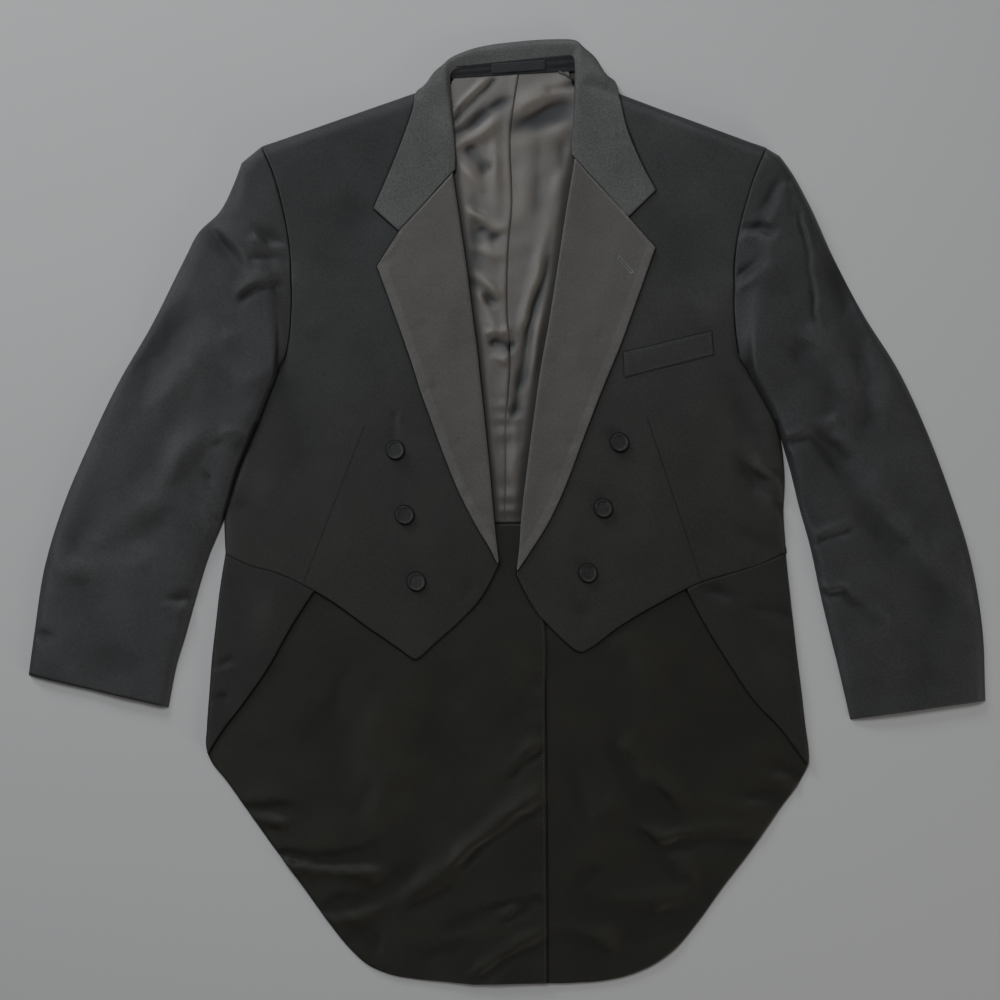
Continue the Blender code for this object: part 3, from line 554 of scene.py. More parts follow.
def back_row(side, share, count):
    """One cross line of the upper back, the neck and shoulder line lowered by its share."""
    corner = FRONT[side][0]
    out_x = float(along_armhole(side, share))
    x = np.linspace(COLLAR_MIDDLE_X * (1 - share), out_x, count)
    to_neck = np.clip((x - COLLAR_MIDDLE_X) / (corner.in_x - COLLAR_MIDDLE_X), 0, None)
    top = np.where(to_neck > 1, shoulder_y(x), lerp(NECK_Y, corner.in_y, np.minimum(to_neck, 1) ** 2))
    return x, lerp(top, ARMPIT_Y, share)


def along_armhole(side, share):
    """X of the armhole where the back's cross line of this share ends on it."""
    rows = FRONT[side][:ARMHOLE_ROWS]
    y = lerp(rows[0].out_y, ARMPIT_Y, share)
    return along(rows, "out_y", "out_x", np.array([y]))[0]


for side, sign in SIDES.items():
    xs, ys = [], []
    for share in np.linspace(0, (FRONT[side][0].out_y - 203) / (FRONT[side][0].out_y - ARMPIT_Y), 26):
        x, y = back_row(side, share, 40)
        xs.append(x)
        ys.append(y)
    for y in np.linspace(ys[-1][-1] - 6, WAIST_Y, 34):
        edge = min(float(along(BACK_SEAM, "y", "x", y)), abs(xs[25][-1]))
        middle = sign * SEAM_GAP / 2 + COLLAR_MIDDLE_X * max(y, 0) / NECK_Y
        xs.append(np.linspace(middle, sign * (edge - SEAM_GAP / 2), 40))
        ys.append(np.full(40, y))
    strip = refined([(0, row.vent_y, *tail_end(side, row)) for row in TAIL], 6)[1:]
    spaced = np.linspace(0, 1, len(TAIL))
    seams = curve_at([row.seam_x for row in TAIL], spaced, np.linspace(0, 1, len(strip)))
    for (_, vent_y, out_x, out_y), seam_x in zip(strip, seams):
        vent_x = VENT_EDGE_X - 1.0 if side == "right" and vent_y < VENT_TOP_Y else sign * SEAM_GAP / 2
        end_x = sign * min(seam_x, abs(out_x))
        end_y = lerp(vent_y, out_y, (end_x - vent_x) / (out_x - vent_x))
        xs.append(np.linspace(vent_x, end_x, 40))
        ys.append(np.linspace(vent_y + 0.6, end_y + 0.6, 40))
    x, y = np.array(xs), np.array(ys)
    lifted = 2.4 * smooth((y - 390) / 38) * (1 - smooth((abs(x - COLLAR_MIDDLE_X) - 66) / 16))
    z = BED + lifted + back_lap(side, x, y) * (tails_top(x, y) + 0.1)
    half = cloth_piece(f"back_{side}_cloth", x, y, z, 1.1, wool_back, faces_up=False)
    sew_in(half, [f"back_{side}"])


# Side bodies: a curved panel on each side between the back and the front. Each is sewn to the back
# from the armhole down to the waist, and turns round the coat's side to meet the front.

for side, sign in SIDES.items():
    sides = FRONT[side][6:]
    y = np.linspace(198, WAIST_Y, 60)
    seam = along(BACK_SEAM, "y", "x", y) + SEAM_GAP / 2
    edge = np.abs(along(sides, "out_y", "out_x", np.maximum(y, -25)))
    edge = np.where(y < -25, lerp(edge, 295, smooth((-25 - y) / 16)), edge) - 0.7
    share = shares(120, 8)
    x = sign * lerp(seam[:, None], np.maximum(edge, seam + 2)[:, None], share)
    y = np.repeat(y[:, None], len(share), 1)
    panel = cloth_piece(f"side_body_{side}_cloth", x, y, np.full_like(x, BED), 1.1, wool_back, False)
    sew_in(panel, [f"side_body_{side}"])


# Skirts: one long piece of wool on each side below the waist. It lies under the tail's lining, folds
# round the coat's side and ends in the slanting front flap, whose edge is pressed sharp.

FLAP_FOLDS = {
    "right": [Fold(*row) for row in (
        (-318, -160, -282, -154, 5, -0.9), (-318, -168, -284, -160, 5, 0.7),
        (-318, -196, -290, -193, 5, -0.8), (-240, -70, -262, -150, 16, 0.8),
    )],
    "left": [Fold(*row) for row in (
        (200, -72, 253, -103, 7, -1.0, 3), (253, -100, 303, -112, 7, -0.9, 3),
        (215, -90, 300, -124, 9, 0.9, 3), (262, -140, 300, -190, 14, 0.7),
    )],
}
# The skirts' wool is given a darker colour than the fronts': painted shade lower on the coat.
wool_skirt = cloth("wool_skirt", (0.0134, 0.0126, 0.0102))
EDGE_TOP = 3.0
FRONT_TOP = 6.6
FLAP_END_Y = {"right": -250, "left": -262}
DOWN_FLAP = np.concatenate([np.linspace(0, 210, 70), [212]])
HIP_BEND = 2.4
HIP_TURN = np.radians([-70, -45, -20, 5, 30, 55, 75])
UNDER_STEPS = 14


def crown(x, y):
    """The top face of a front away from its side edge: chest, padded shoulder, shoulder edge."""
    side = np.abs(x)
    below = 0.937 * (shoulder_y(x) - y)
    pad = 15 * np.exp(-((below / 80) ** 2)) * lerp(0.45, 1, smooth((side - 110) / 120))
    chest = 4.5 * np.exp(-(((side - 120) / 100) ** 2) - ((y - 180) / 140) ** 2)
    return lerp(EDGE_TOP, FRONT_TOP + pad + chest, rounded(below, 16))


for side, sign in SIDES.items():
    flap = np.array(FLAP[side], float)
    flap_end = FLAP_END_Y[side]
    xs, ys, zs = [], [], []
    for step in DOWN_FLAP / 212:
        y_side = lerp(WAIST_Y, flap_end, step)
        side_x = float(tail_edge(side, y_side))
        flap_x, flap_y = curve_at(flap, np.linspace(0, 1, len(flap)), np.array([step]))[0].tolist()
        seam_x = sign * (float(along(TAIL, "vent_y", "seam_x", y_side)) + 0.2)
        straight = side_x - sign * HIP_BEND
        under = lerp(seam_x, straight, np.linspace(0, 1, UNDER_STEPS))
        share = shares(90, 3.2)
        flat_x, flat_y = lerp(straight, flap_x, share), lerp(y_side, flap_y, share)
        if abs(flap_x - straight) < 6:
            flat_y = lerp(y_side, flap_y, np.linspace(0, 1, len(flat_y)))
        if step == 0:
            to_seam = lower_line(side, flat_x) - 0.3 - flat_y
        past_corner = smooth((np.abs(flat_x) - abs(flap_x)) / 14 + (step == 0))
        flat_y = flat_y + to_seam * (1 - step) ** 3 * past_corner
        rise = np.maximum(tails_top(flat_x, flat_y) + 2.4, 2 * HIP_BEND)
        rise = rise + 1.8 * folds(flat_x, flat_y, FLAP_FOLDS[side]) + drape(flat_x, flat_y, 5, 90, 0.5)
        top_line = lower_line(side, flat_x)
        near_seam = smooth(1 - (top_line - flat_y) / 16)
        rise = lerp(rise, crown(flat_x, flat_y) - 0.9, near_seam)
        near_turn = rounded(np.abs(flat_x - side_x), 7)
        rise = lerp(2 * HIP_BEND - 0.3, rise + 0.9, near_turn)
        edge_drop = 0.7 * (1 - rounded(np.hypot(flat_x - flap_x, flat_y - flap_y), 2.2))
        xs.append(np.concatenate([under, straight + sign * HIP_BEND * np.cos(HIP_TURN), flat_x]))
        ys.append(np.concatenate([np.full(UNDER_STEPS + len(HIP_TURN), y_side), flat_y]))
        round_hip = BED + HIP_BEND * (1 + np.sin(HIP_TURN))
        zs.append(np.concatenate([np.full(UNDER_STEPS, BED), round_hip, rise - edge_drop]))
    x, y, z = np.array(xs), np.array(ys), np.array(zs)
    skirt = cloth_piece(f"skirt_{side}_cloth", x, y, z, 1.1, wool_skirt, faces_up=False)
    # Painted shadow along the front's lower edge on the raised flap, and painted shade in the flap's
    # folds.
    paint_contact_shadow(skirt, [front_outline(side)], x, np.where(z > 3, y, y - 900), 1.6)
    paint_fold_shade(skirt, folds(x, y, FLAP_FOLDS[side]) * (z > 3), 1.0)
    top_seam = float(along(TAIL, "vent_y", "seam_x", flap_end))
    table = [(top_seam, flap_end - 0.6, float(tail_edge(side, flap_end)), flap_end - 0.6)]
    below = [row for row in TAIL if row.vent_y < flap_end - 5][:-2]
    table += [(row.seam_x, row.vent_y, *tail_end(side, row)) for row in below]
    placed = []
    for seam, in_y, out_x, out_y in table:
        placed.append((sign * seam, lerp(in_y, out_y, 0.3) + 0.6, out_x - sign * 0.8, out_y + 0.6))
    table = refined(placed, 5)
    x, y = spread(table[:, :2], table[:, 2:4], shares(150, 9))
    low = cloth_piece(f"skirt_{side}_tail", x, y, np.full_like(x, BED), 1.1, wool_skirt, faces_up=False)
    sew_in(skirt, [f"skirt_{side}"])
    sew_in(low, [f"skirt_{side}"])


# Tail linings: the tails are faced inside with the coat's own wool, so this is the face that shows.
# The right tail laps over the left one beside the vent, and its edge is stitched by hand.

# The facing's wool is given a darker colour than the fronts': painted shade lower on the coat.
wool_tail = cloth("wool_tail", (0.0102, 0.0091, 0.0052))

for side, sign in SIDES.items():
    rows = [(0, -10.3, sign * 284, -10.3), (0, -24, sign * 284, -24)]
    for row in TAIL:
        out_x, out_y = tail_end(side, row)
        rows.append((0, row.vent_y, out_x - sign * (7 if row.vent_y > -240 else 0.2), out_y))
    table = refined(rows, 3.2)
    start, end = table[:, :2].copy(), table[:, 2:4]
    start[:, 0] = sign * 0.2
    if side == "right":
        start[:, 0] = along(VENT_EDGE, "y", "x", start[:, 1])
    share = shares(300, 3.2)
    x, y = spread(start, end, share)
    to_side = np.hypot(x - x[:, -1:], y - y[:, -1:])
    to_hem = np.hypot(x - x[-1:], y - y[-1:])
    from_edge = np.minimum(to_side * np.where(y > -240, 1, 0.8), to_hem)
    if side == "right":
        lap = (1.1 + 1.9 * smooth((-84 - y) / 34)) * smooth((x + 86) / 80)
    else:
        lap = np.zeros_like(x)
    z = tails_top(x, y) + lap
    z = lerp(1.9, z, rounded(from_edge + 0.2, 5))
    if side == "right":
        z = z - 0.8 * (1 - rounded(np.hypot(x - x[:, :1], y - y[:, :1]), 1.6))
    tail = cloth_piece(f"tail_facing_{side}", x, y, z, 1.0, wool_tail)
    # Painted shadow beside the fronts, the flaps and, on the left, the right tail's lap; painted shade in
    # the folds.
    over = FRONT_OUTLINES + FLAP_OUTLINES
    if side == "left":
        lap_edge = [(row.x, row.y) for row in VENT_EDGE]
        over = [*over, lap_edge + [(-100, -495), (-100, -10)]]
    paint_contact_shadow(tail, over, x, y, 3.0)
    paint_fold_shade(tail, (tails_top(x, y) - 4.0) * smooth((-110 - y) / 40), 1.8)
    sew_in(tail, [f"tail_lining_{side}"])


# Body linings: a light satin-woven lining on each side, with a pleat for ease down the middle of the
# back, sewn to the neck seam above and felled to the tails' facing below.

LINING_FOLDS = [Fold(*row) for row in (
    (-62, 405, -10, 458, 3.2, -1.5), (-66, 412, -16, 462, 3.4, 2.2), (-56, 418, -20, 458, 2.2, -1.0),
    (-60, 396, -15, 426, 5.5, -2.0, -3), (-20, 424, 9, 437, 4.5, -1.8), (-60, 384, -6, 416, 6, 2.4, -3),
    (4, 405, 72, 432, 10, -3.2, -3), (40, 446, 76, 452, 4, -1.6, -2), (2, 388, 66, 408, 9, 1.0, -5),
    (6, 424, 74, 450, 11, 2.6, 2), (-43, 389, -18, 358, 6, -2.0), (-52, 372, -24, 338, 6, 2.0),
    (-30, 301, -9, 287, 4, -1.9), (-44, 320, -1, 297, 4.5, 2.4), (-40, 284, -2, 268, 6, 1.5),
    (-42, 248, -12, 218, 4.5, -1.9), (-34, 256, -4, 226, 5, 1.9), (-30, 236, -12, 190, 5, 1.6),
    (-18, 182, 8, 174, 4.5, -2.6), (-24, 190, 4, 192, 4, 2.2), (-16, 166, 2, 160, 4, 1.6),
    (47, 272, 24, 200, 4.5, -1.9), (26, 212, 14, 130, 4.5, -2.1), (15, 142, 7, 98, 4, -1.7),
    (34, 262, 14, 190, 5, 1.8), (36, 220, 24, 130, 5.5, 1.9), (57, 362, 41, 292, 7, 1.0),
    (42, 300, 25, 230, 6, 1.3), (22, 400, 14, 300, 9, 0.8), (34, 396, 30, 306, 6, -0.6),
    (56, 400, 62, 340, 6, -0.6), (-34, 340, -30, 240, 7, -1.2), (-14, 400, -12, 310, 6, 1.5),
    (-22, 150, -18, 40, 5, 1.0), (10, 110, 6, 10, 5, 0.9),
)]
PLEAT = [
    (461, 12), (424, 6), (391, 3), (361, 4), (328, 5), (277, 1), (214, 0), (167, 3), (104, 0), (-10, -1),
]
# Painted light and shade on the lining: lighter towards the neck, and darker near the fronts' edges.
lining_cloth = cloth(
    "lining_satin", (0.049, 0.042, 0.035), upper=(0.071, 0.0615, 0.052), rough=0.47, wale=0.0005,
    fibre=0.4, mottle=0.3, thread=0.05, bump=0.2, gloss=0.5, fold_shade_strength=0.95,
)


def lining_top(x, y):
    """The height of the lining inside the back, held down where the fronts lie on it."""
    waves = folds(x, y, LINING_FOLDS, 0.6) + drape(x, y, 23, 46, 0.2)
    low = np.exp(-((x + 1) ** 2) / 14**2) * smooth((150 - y) / 60)
    puckers = 0.5 * low * np.sin(y / 3.6 + 3 * np.sin(y / 17))
    ends = [FRONT["right"], FRONT["left"]]
    right_x, left_x = (along(rows, "in_y", "in_x", np.clip(y, -30, 446)) for rows in ends)
    room = smooth(np.minimum(x - right_x, left_x - x) / 9 + 0.1)
    hem = smooth((y + 9) / 14)
    over_collar = 2.9 * smooth((y - 384) / 38) * (1 - smooth((np.abs(x - COLLAR_MIDDLE_X) - 86) / 16))
    return 2.9 + 1.7 * room * hem + over_collar + held_up(waves + puckers, 2.2) * room * hem


for side, sign in SIDES.items():
    y = np.linspace(460.5, -9.5, 210)
    middle = along([BackSeam(*place) for place in PLEAT], "y", "x", y)
    reach = np.interp(-y, [-461, -446, -431, -400, -350, 10], [56, 64, 76, 132, 205, 270])
    share = np.concatenate([np.linspace(0, 0.32, 34), np.linspace(0.32, 1, 22)[1:]])
    near = np.concatenate([np.linspace(0, 1, 34), np.ones(21)])
    beyond = np.concatenate([np.zeros(34), np.linspace(0, 1, 22)[1:]])
    close_reach = np.minimum(78, reach * 0.96)
    x = sign * (near * close_reach[:, None] + beyond * (reach - close_reach)[:, None])
    x = x + middle[:, None] * (1 - beyond) + (-1.2 if side == "left" else 0.6)
    y = np.repeat(y[:, None], x.shape[1], 1)
    y = y + NECK_SLOPE * (x - COLLAR_MIDDLE_X) * smooth((y - 400) / 60) * (np.abs(x) < 90)
    z = lining_top(x, y)
    if side == "right":
        z = z + 1.1 * np.exp(-(((middle[:, None] - x) / 6) ** 2)) * smooth((y - 60) / 100)
        z = z - 0.7 * (1 - rounded(np.abs(x - middle[:, None] - 0.6), 1.2))
    half = cloth_piece(f"lining_{side}", x, y, z, 0.6, lining_cloth)
    # Painted shade, wide, near the fronts' inner edges, and in the lining's folds.
    paint_contact_shadow(half, FRONT_OUTLINES, x, y, 12.0)
    paint_fold_shade(half, folds(x, y, LINING_FOLDS, 0.6), 1.3)
    sew_in(half, [f"body_lining_{side}"])


# Fronts: canvassed wool from the padded shoulder to the pointed lower edge, with a dart each and a
# waist seam at the side. The inner edge lies under the lapel and the outer one turns down.

FRONT_FOLDS = {
    "right": [Fold(*row) for row in (
        (-118, 108, -117, 80, 3.5, -0.7), (-112, 106, -111, 84, 3.5, 0.6),
        (-300, 40, -240, 20, 12, 0.8, 4), (-296, 10, -244, -10, 10, -0.7, 4),
        (-230, 140, -210, 40, 14, -0.8), (-226, 260, -196, 190, 16, 0.8),
        (-180, 60, -160, -60, 16, 0.6), (-150, 330, -190, 250, 26, -0.7), (-60, -60, -34, -84, 6, -0.5),
    )],
    "left": [Fold(*row) for row in (
        (256, 62, 298, 24, 7, 2.2, -4), (238, 64, 298, 2, 7, -1.8, -5), (262, 34, 298, -12, 8, 1.6, -4),
        (236, 148, 262, 70, 12, -1.0), (240, 250, 205, 200, 18, 0.8), (150, 330, 190, 240, 26, -0.7),
        (150, 60, 150, -60, 16, 0.6), (60, -90, 90, -110, 10, -0.5), (230, -10, 290, -40, 8, -0.8),
    )],
}
Spot = namedtuple("Spot", "x y")
# Radius of the painted shadow round each button on the front.
BUTTON_SHADE = 9.4
BUTTONS = {
    "right": [Spot(-117, 67), Spot(-107, -1), Spot(-95, -71)],
    "left": [Spot(118, 75), Spot(101, 6), Spot(85, -62)],
}
DARTS = {
    "right": [((-149, 92), (-182, 9)), ((-182, 9), (-213, -72))],
    "left": [((147, 101), (173, 23)), ((173, 23), (204, -70))],
}
SleeveRow = namedtuple("SleeveRow", "out_x out_y in_x in_y bow height")
SLEEVE = {
    "right": [SleeveRow(*row) for row in (
        (-279, 369, -241, 147, 15, 20), (-286, 350, -243, 140, 14, 20), (-302, 318, -249, 126, 8, 19),
        (-325, 295, -255, 110, 5, 18), (-338, 270, -261, 94, 3, 17), (-375, 196, -281, 46, 0, 15),
        (-408, 139, -297, -4, 0, 13), (-440, 72, -314, -46, 0, 12.5), (-468, 5, -328, -92, 0, 12),
        (-486, -55, -338, -128, 0, 11), (-497, -125, -349, -166, 0, 9.5),
        (-503, -169, -356, -203, 0, 8),
    )],
    "left": [SleeveRow(*row) for row in (
        (287, 376, 254, 148, 14, 20), (298, 361, 257, 141, 13, 20), (317, 327, 265, 127, 8, 19),
        (342.5, 271, 281, 98, 3, 17), (374, 211, 296, 52, 0, 15), (411, 152, 307, 8, 0, 13),
        (441, 88, 319, -35, 0, 12.5), (466, 22, 329, -82, 0, 12), (487, -45, 338, -120, 0, 11),
        (500, -122, 349, -164, 0, 9.5), (503, -196, 361, -216, 0, 8),
    )],
}
WELT = {"top": (Spot(122, 169), Spot(215, 192)), "low": (Spot(123, 143), Spot(217, 167))}
LapelRow = namedtuple("LapelRow", "roll_x roll_y edge_x edge_y")
LAPEL = {
    "right": [LapelRow(*row) for row in (
        (-57, 357, -113, 296), (-49, 304, -136, 259.5), (-41, 248, -112.5, 195), (-35, 200, -98, 153),
        (-31, 170, -89.5, 126), (-29, 150, -81.5, 104), (-23, 95, -63.5, 55), (-18, 45, -47.5, 17),
        (-14, 0, -28.5, -19), (-11, -30, -18, -36), (-8.5, -50, -10, -52),
    )],
    "left": [LapelRow(*row) for row in (
        (71, 372, 127, 311), (60, 305, 155.5, 279), (51, 245, 132, 213), (43, 195, 117, 172),
        (38, 168, 107, 148), (35, 150, 100, 131), (27, 92, 81.5, 83), (20, 38, 57, 19),
        (15, -5, 40, -15), (13, -35, 26, -37), (10.5, -57, 11.5, -59),
    )],
}
CollarRow = namedtuple(
    "CollarRow", "in_x in_y end_x end_y in_z top_x top_y top_z over_x over_y over_z end_z on_front"
)
COLLAR = [CollarRow(*row) for row in (
    (-54, 361, -113, 296, 7.0, -57.5, 357.5, 11.5, -85, 327, 0, 0, 1),
    (-54, 371, -140, 320, 7.5, -58, 368, 12.2, -97, 345, 0, 0, 1),
    (-54.5, 391, -125, 354, 8.5, -59, 389, 13.6, -91, 373, 0, 0, 1),
    (-56, 413, -108, 396, 9.5, -61, 412, 14.8, -85, 404, 0, 0, 1),
    (-57.5, 431, -98.5, 424, 10.0, -63, 432, 15.2, -81, 428, 0, 0, 1),
    (-59, 447, -94, 444, 9.8, -65, 449, 14.8, -80, 448, 11, 6.0, 0.3),
    (-59.5, 457, -86, 450, 9.4, -65.5, 462, 13.6, -78, 460.5, 9.0, 3.0, 0),
    (-57, 464, -70, 455, 8.8, -62.5, 471.5, 11.8, -68, 470, 7.0, 1.2, 0),
    (-50, 467.8, -51, 450, 8.2, -54, 477.5, 10.4, -55.5, 478.5, 5.0, 0.3, 0),
    (-37, 470, -36, 447, 8.0, -38, 483, 9.8, -38, 485, 4.2, 0.2, 0),
    (-17, 472.6, -17, 445, 7.8, -17, 487, 9.4, -17, 489.5, 3.8, 0.2, 0),
    (7, 475.2, 7, 444, 7.8, 7, 489.7, 9.3, 7, 492.2, 3.8, 0.2, 0),
    (30, 477.6, 30, 445, 7.9, 30, 491.7, 9.5, 30, 494.2, 3.8, 0.2, 0),
    (50, 479.6, 50, 447, 8.2, 51, 492.8, 10.0, 51, 495, 4.2, 0.3, 0),
    (64, 480.8, 66, 452, 8.6, 68, 492.6, 11.0, 69, 494.6, 5.2, 0.6, 0),
    (70, 477.5, 84, 464, 9.2, 76, 488.5, 12.6, 81, 488, 7.0, 1.4, 0),
    (71, 470, 100, 461, 9.6, 77, 478, 14.0, 94, 476.5, 9.0, 3.0, 0),
    (71, 460, 112, 455, 9.9, 76.5, 464, 15.0, 97, 460, 11, 6.0, 0.3),
    (70.5, 446, 118, 436, 10.0, 75.5, 447, 15.2, 96, 441, 0, 0, 1),
    (70, 427, 124, 409, 9.5, 74.5, 427, 14.8, 100, 418, 0, 0, 1),
    (69, 406, 139, 371, 8.5, 73, 404, 13.6, 106, 388, 0, 0, 1),
    (68, 386, 156, 339, 7.5, 72, 383, 12.2, 112, 360, 0, 0, 1),
    (68, 376, 127, 311, 7.0, 71.5, 372.5, 11.5, 99, 342, 0, 0, 1),
)]


def lapel_outline(side):
    """The outline of a lapel: down its roll, then up its pressed edge."""
    rows = LAPEL[side]
    roll = [(row.roll_x, row.roll_y) for row in rows]
    return roll + [(row.edge_x, row.edge_y) for row in reversed(rows)]


def collar_outline(side):
    """The outline of the collar's end where it lies on a front."""
    rows = [row for row in COLLAR if row.on_front and row.in_x * SIDES[side] > 0]
    inner = [(row.in_x, row.in_y) for row in rows]
    return inner + [(row.end_x, row.end_y) for row in reversed(rows)]


def sleeve_outline(side):
    """The outline of a sleeve from the armpit down."""
    rows = [row for row in SLEEVE[side] if row.in_y < 130]
    pit = FRONT[side][ARMHOLE_ROWS - 1]
    inner = [(pit.out_x, pit.out_y)] + [(row.in_x, row.in_y) for row in rows]
    return inner + [(row.out_x, row.out_y) for row in reversed(rows)]


def front_top(side, x, y):
    """The front's own surface, with its soft folds and the pull of the buttons' threads."""
    total = crown(x, y) + 2.0 * folds(x, y, FRONT_FOLDS[side])
    total = total + drape(x, y, 31 if side == "right" else 37, 130, 0.5)
    for spot in BUTTONS[side]:
        away = np.hypot(x - spot.x, y - spot.y)
        turn = np.arctan2(y - spot.y, x - spot.x)
        pull = np.exp(-((away / 13) ** 2))
        total = total - 0.3 * pull + 0.25 * pull * np.sin(3 * turn + spot.y) * np.clip(away / 8, 0, 1)
    return total


for side, sign in SIDES.items():
    # Painted light on one wool: lighter towards the shoulders, and the right front darker than the left.
    low_tone, lit_shoulder_tone = (0.0182, 0.0171, 0.0136), (0.0293, 0.0288, 0.0277)
    if side == "right":
        low_tone, lit_shoulder_tone = (0.0166, 0.0157, 0.0128), (0.0252, 0.0248, 0.0242)
    wool_front = cloth(f"wool_front_{side}", low_tone, upper=lit_shoulder_tone, seams=DARTS[side])
    table = refined(FRONT[side], 3.0)
    share = shares(230, 2.8)
    start, end = table[:, :2].copy(), table[:, 2:4].copy()
    start[:, 0] += sign * 2.2
    end[:, 0] -= sign * 0.2
    x, y = spread(start, end, share)
    lower = np.array(FRONT_LOWER_EDGE[side], float)
    count = 46
    last_x, last_y = x[-1], y[-1]
    low_x = lerp(float(lower[0, 0]), float(lower[-1, 0]), (last_x - last_x[0]) / (last_x[-1] - last_x[0]))
    low_y = lower_line(side, low_x)
    steps = (1 - (1 - np.linspace(0, 1, count + 1)[1:]) ** 1.25)[:, None]
    x = np.concatenate([x, lerp(last_x, low_x, steps)])
    y = np.concatenate([y, lerp(last_y, low_y, steps)])
    fold = np.concatenate([table[:, 4], np.ones(count)])[:, None]
    z = front_top(side, x, y)
    to_side = np.hypot(x - x[:, -1:], y - y[:, -1:])
    low_line = lower_line(side, x)
    to_low = (y - low_line) * 0.8
    free_edge = smooth((abs(FLAP[side][0][0]) - np.abs(x)) / 6)
    z = z - (0.35 + 0.65 * free_edge) * (1 - rounded(np.maximum(to_low, 0), 1.8))
    z = z - 1.2 * (1 - fold) * (1 - rounded(to_side, 2.6))
    z = lerp(z, lerp(1.6, z, rounded(to_side, 11)), fold)
    inner_free = np.hypot(x - x[:, :1], y - y[:, :1])
    z = z - 0.8 * (1 - rounded(inner_free, 2.0))
    front = cloth_piece(f"front_{side}_cloth", x, y, z, 1.5, wool_front)
    # Painted shadow on the front round the lapel, collar end, lower sleeve and buttons; painted shade in
    # its folds.
    over = [lapel_outline(side), collar_outline(side), sleeve_outline(side)]
    rim = np.linspace(0, 2 * math.pi, 25)[:-1]
    for spot in BUTTONS[side]:
        disc = np.column_stack([spot.x + BUTTON_SHADE * np.cos(rim), spot.y + BUTTON_SHADE * np.sin(rim)])
        over.append([tuple(place) for place in disc])
    paint_contact_shadow(front, over, x, y, 2.6)
    paint_fold_shade(front, 2.0 * folds(x, y, FRONT_FOLDS[side]), 3.0)
    # Painted shadow round the breast welt.
    if side == "left":
        paint_contact_shadow(front, [[*WELT["top"], *WELT["low"][::-1]]], x, y, 1.3)
    sew_in(front, [f"front_{side}"])


# Breast welt: a strip of the front's wool, set slanting into the left chest. Its ends are sewn down
# by a fine machine stitch just inside the edge.

WELT_LONG, WELT_WIDE = 95, 25
NEAR_EDGE = (0, 0.3, 0.8, 1.6)
# Painted light: the welt's wool grows lighter up the coat, as the fronts' does.
wool_welt = cloth("wool_welt", (0.0198, 0.0187, 0.0152), upper=(0.0295, 0.0290, 0.0280))
share = shares(WELT_LONG, 2.5, NEAR_EDGE)
top_in, top_out = WELT["top"]
low_in, low_out = WELT["low"]
down = shares(WELT_WIDE, 2.5, NEAR_EDGE)[:, None]
x = lerp(lerp(top_in.x, top_out.x, share), lerp(low_in.x, low_out.x, share), down)
y = lerp(lerp(top_in.y, top_out.y, share), lerp(low_in.y, low_out.y, share), down)
from_edge = np.minimum(np.minimum(share, 1 - share) * WELT_LONG, np.minimum(down, 1 - down) * WELT_WIDE)
z = front_top("left", x, y) - 0.5 + 1.5 * rounded(from_edge + 0.05, 1.5)
z = z - 0.35 * np.exp(-(((from_edge - 3.2) / 0.9) ** 2)) + 0.25 * np.sin(x / 9.0)
welt = cloth_piece("breast_welt_cloth", x, y, z, 0.9, wool_welt)
sew_in(welt, ["breast_welt"])


# Sleeves: two-piece wool sleeves, a top sleeve over an under sleeve, joined along both edges and set
# into the armhole. They lie flat with a full, soft head below the padded shoulder.

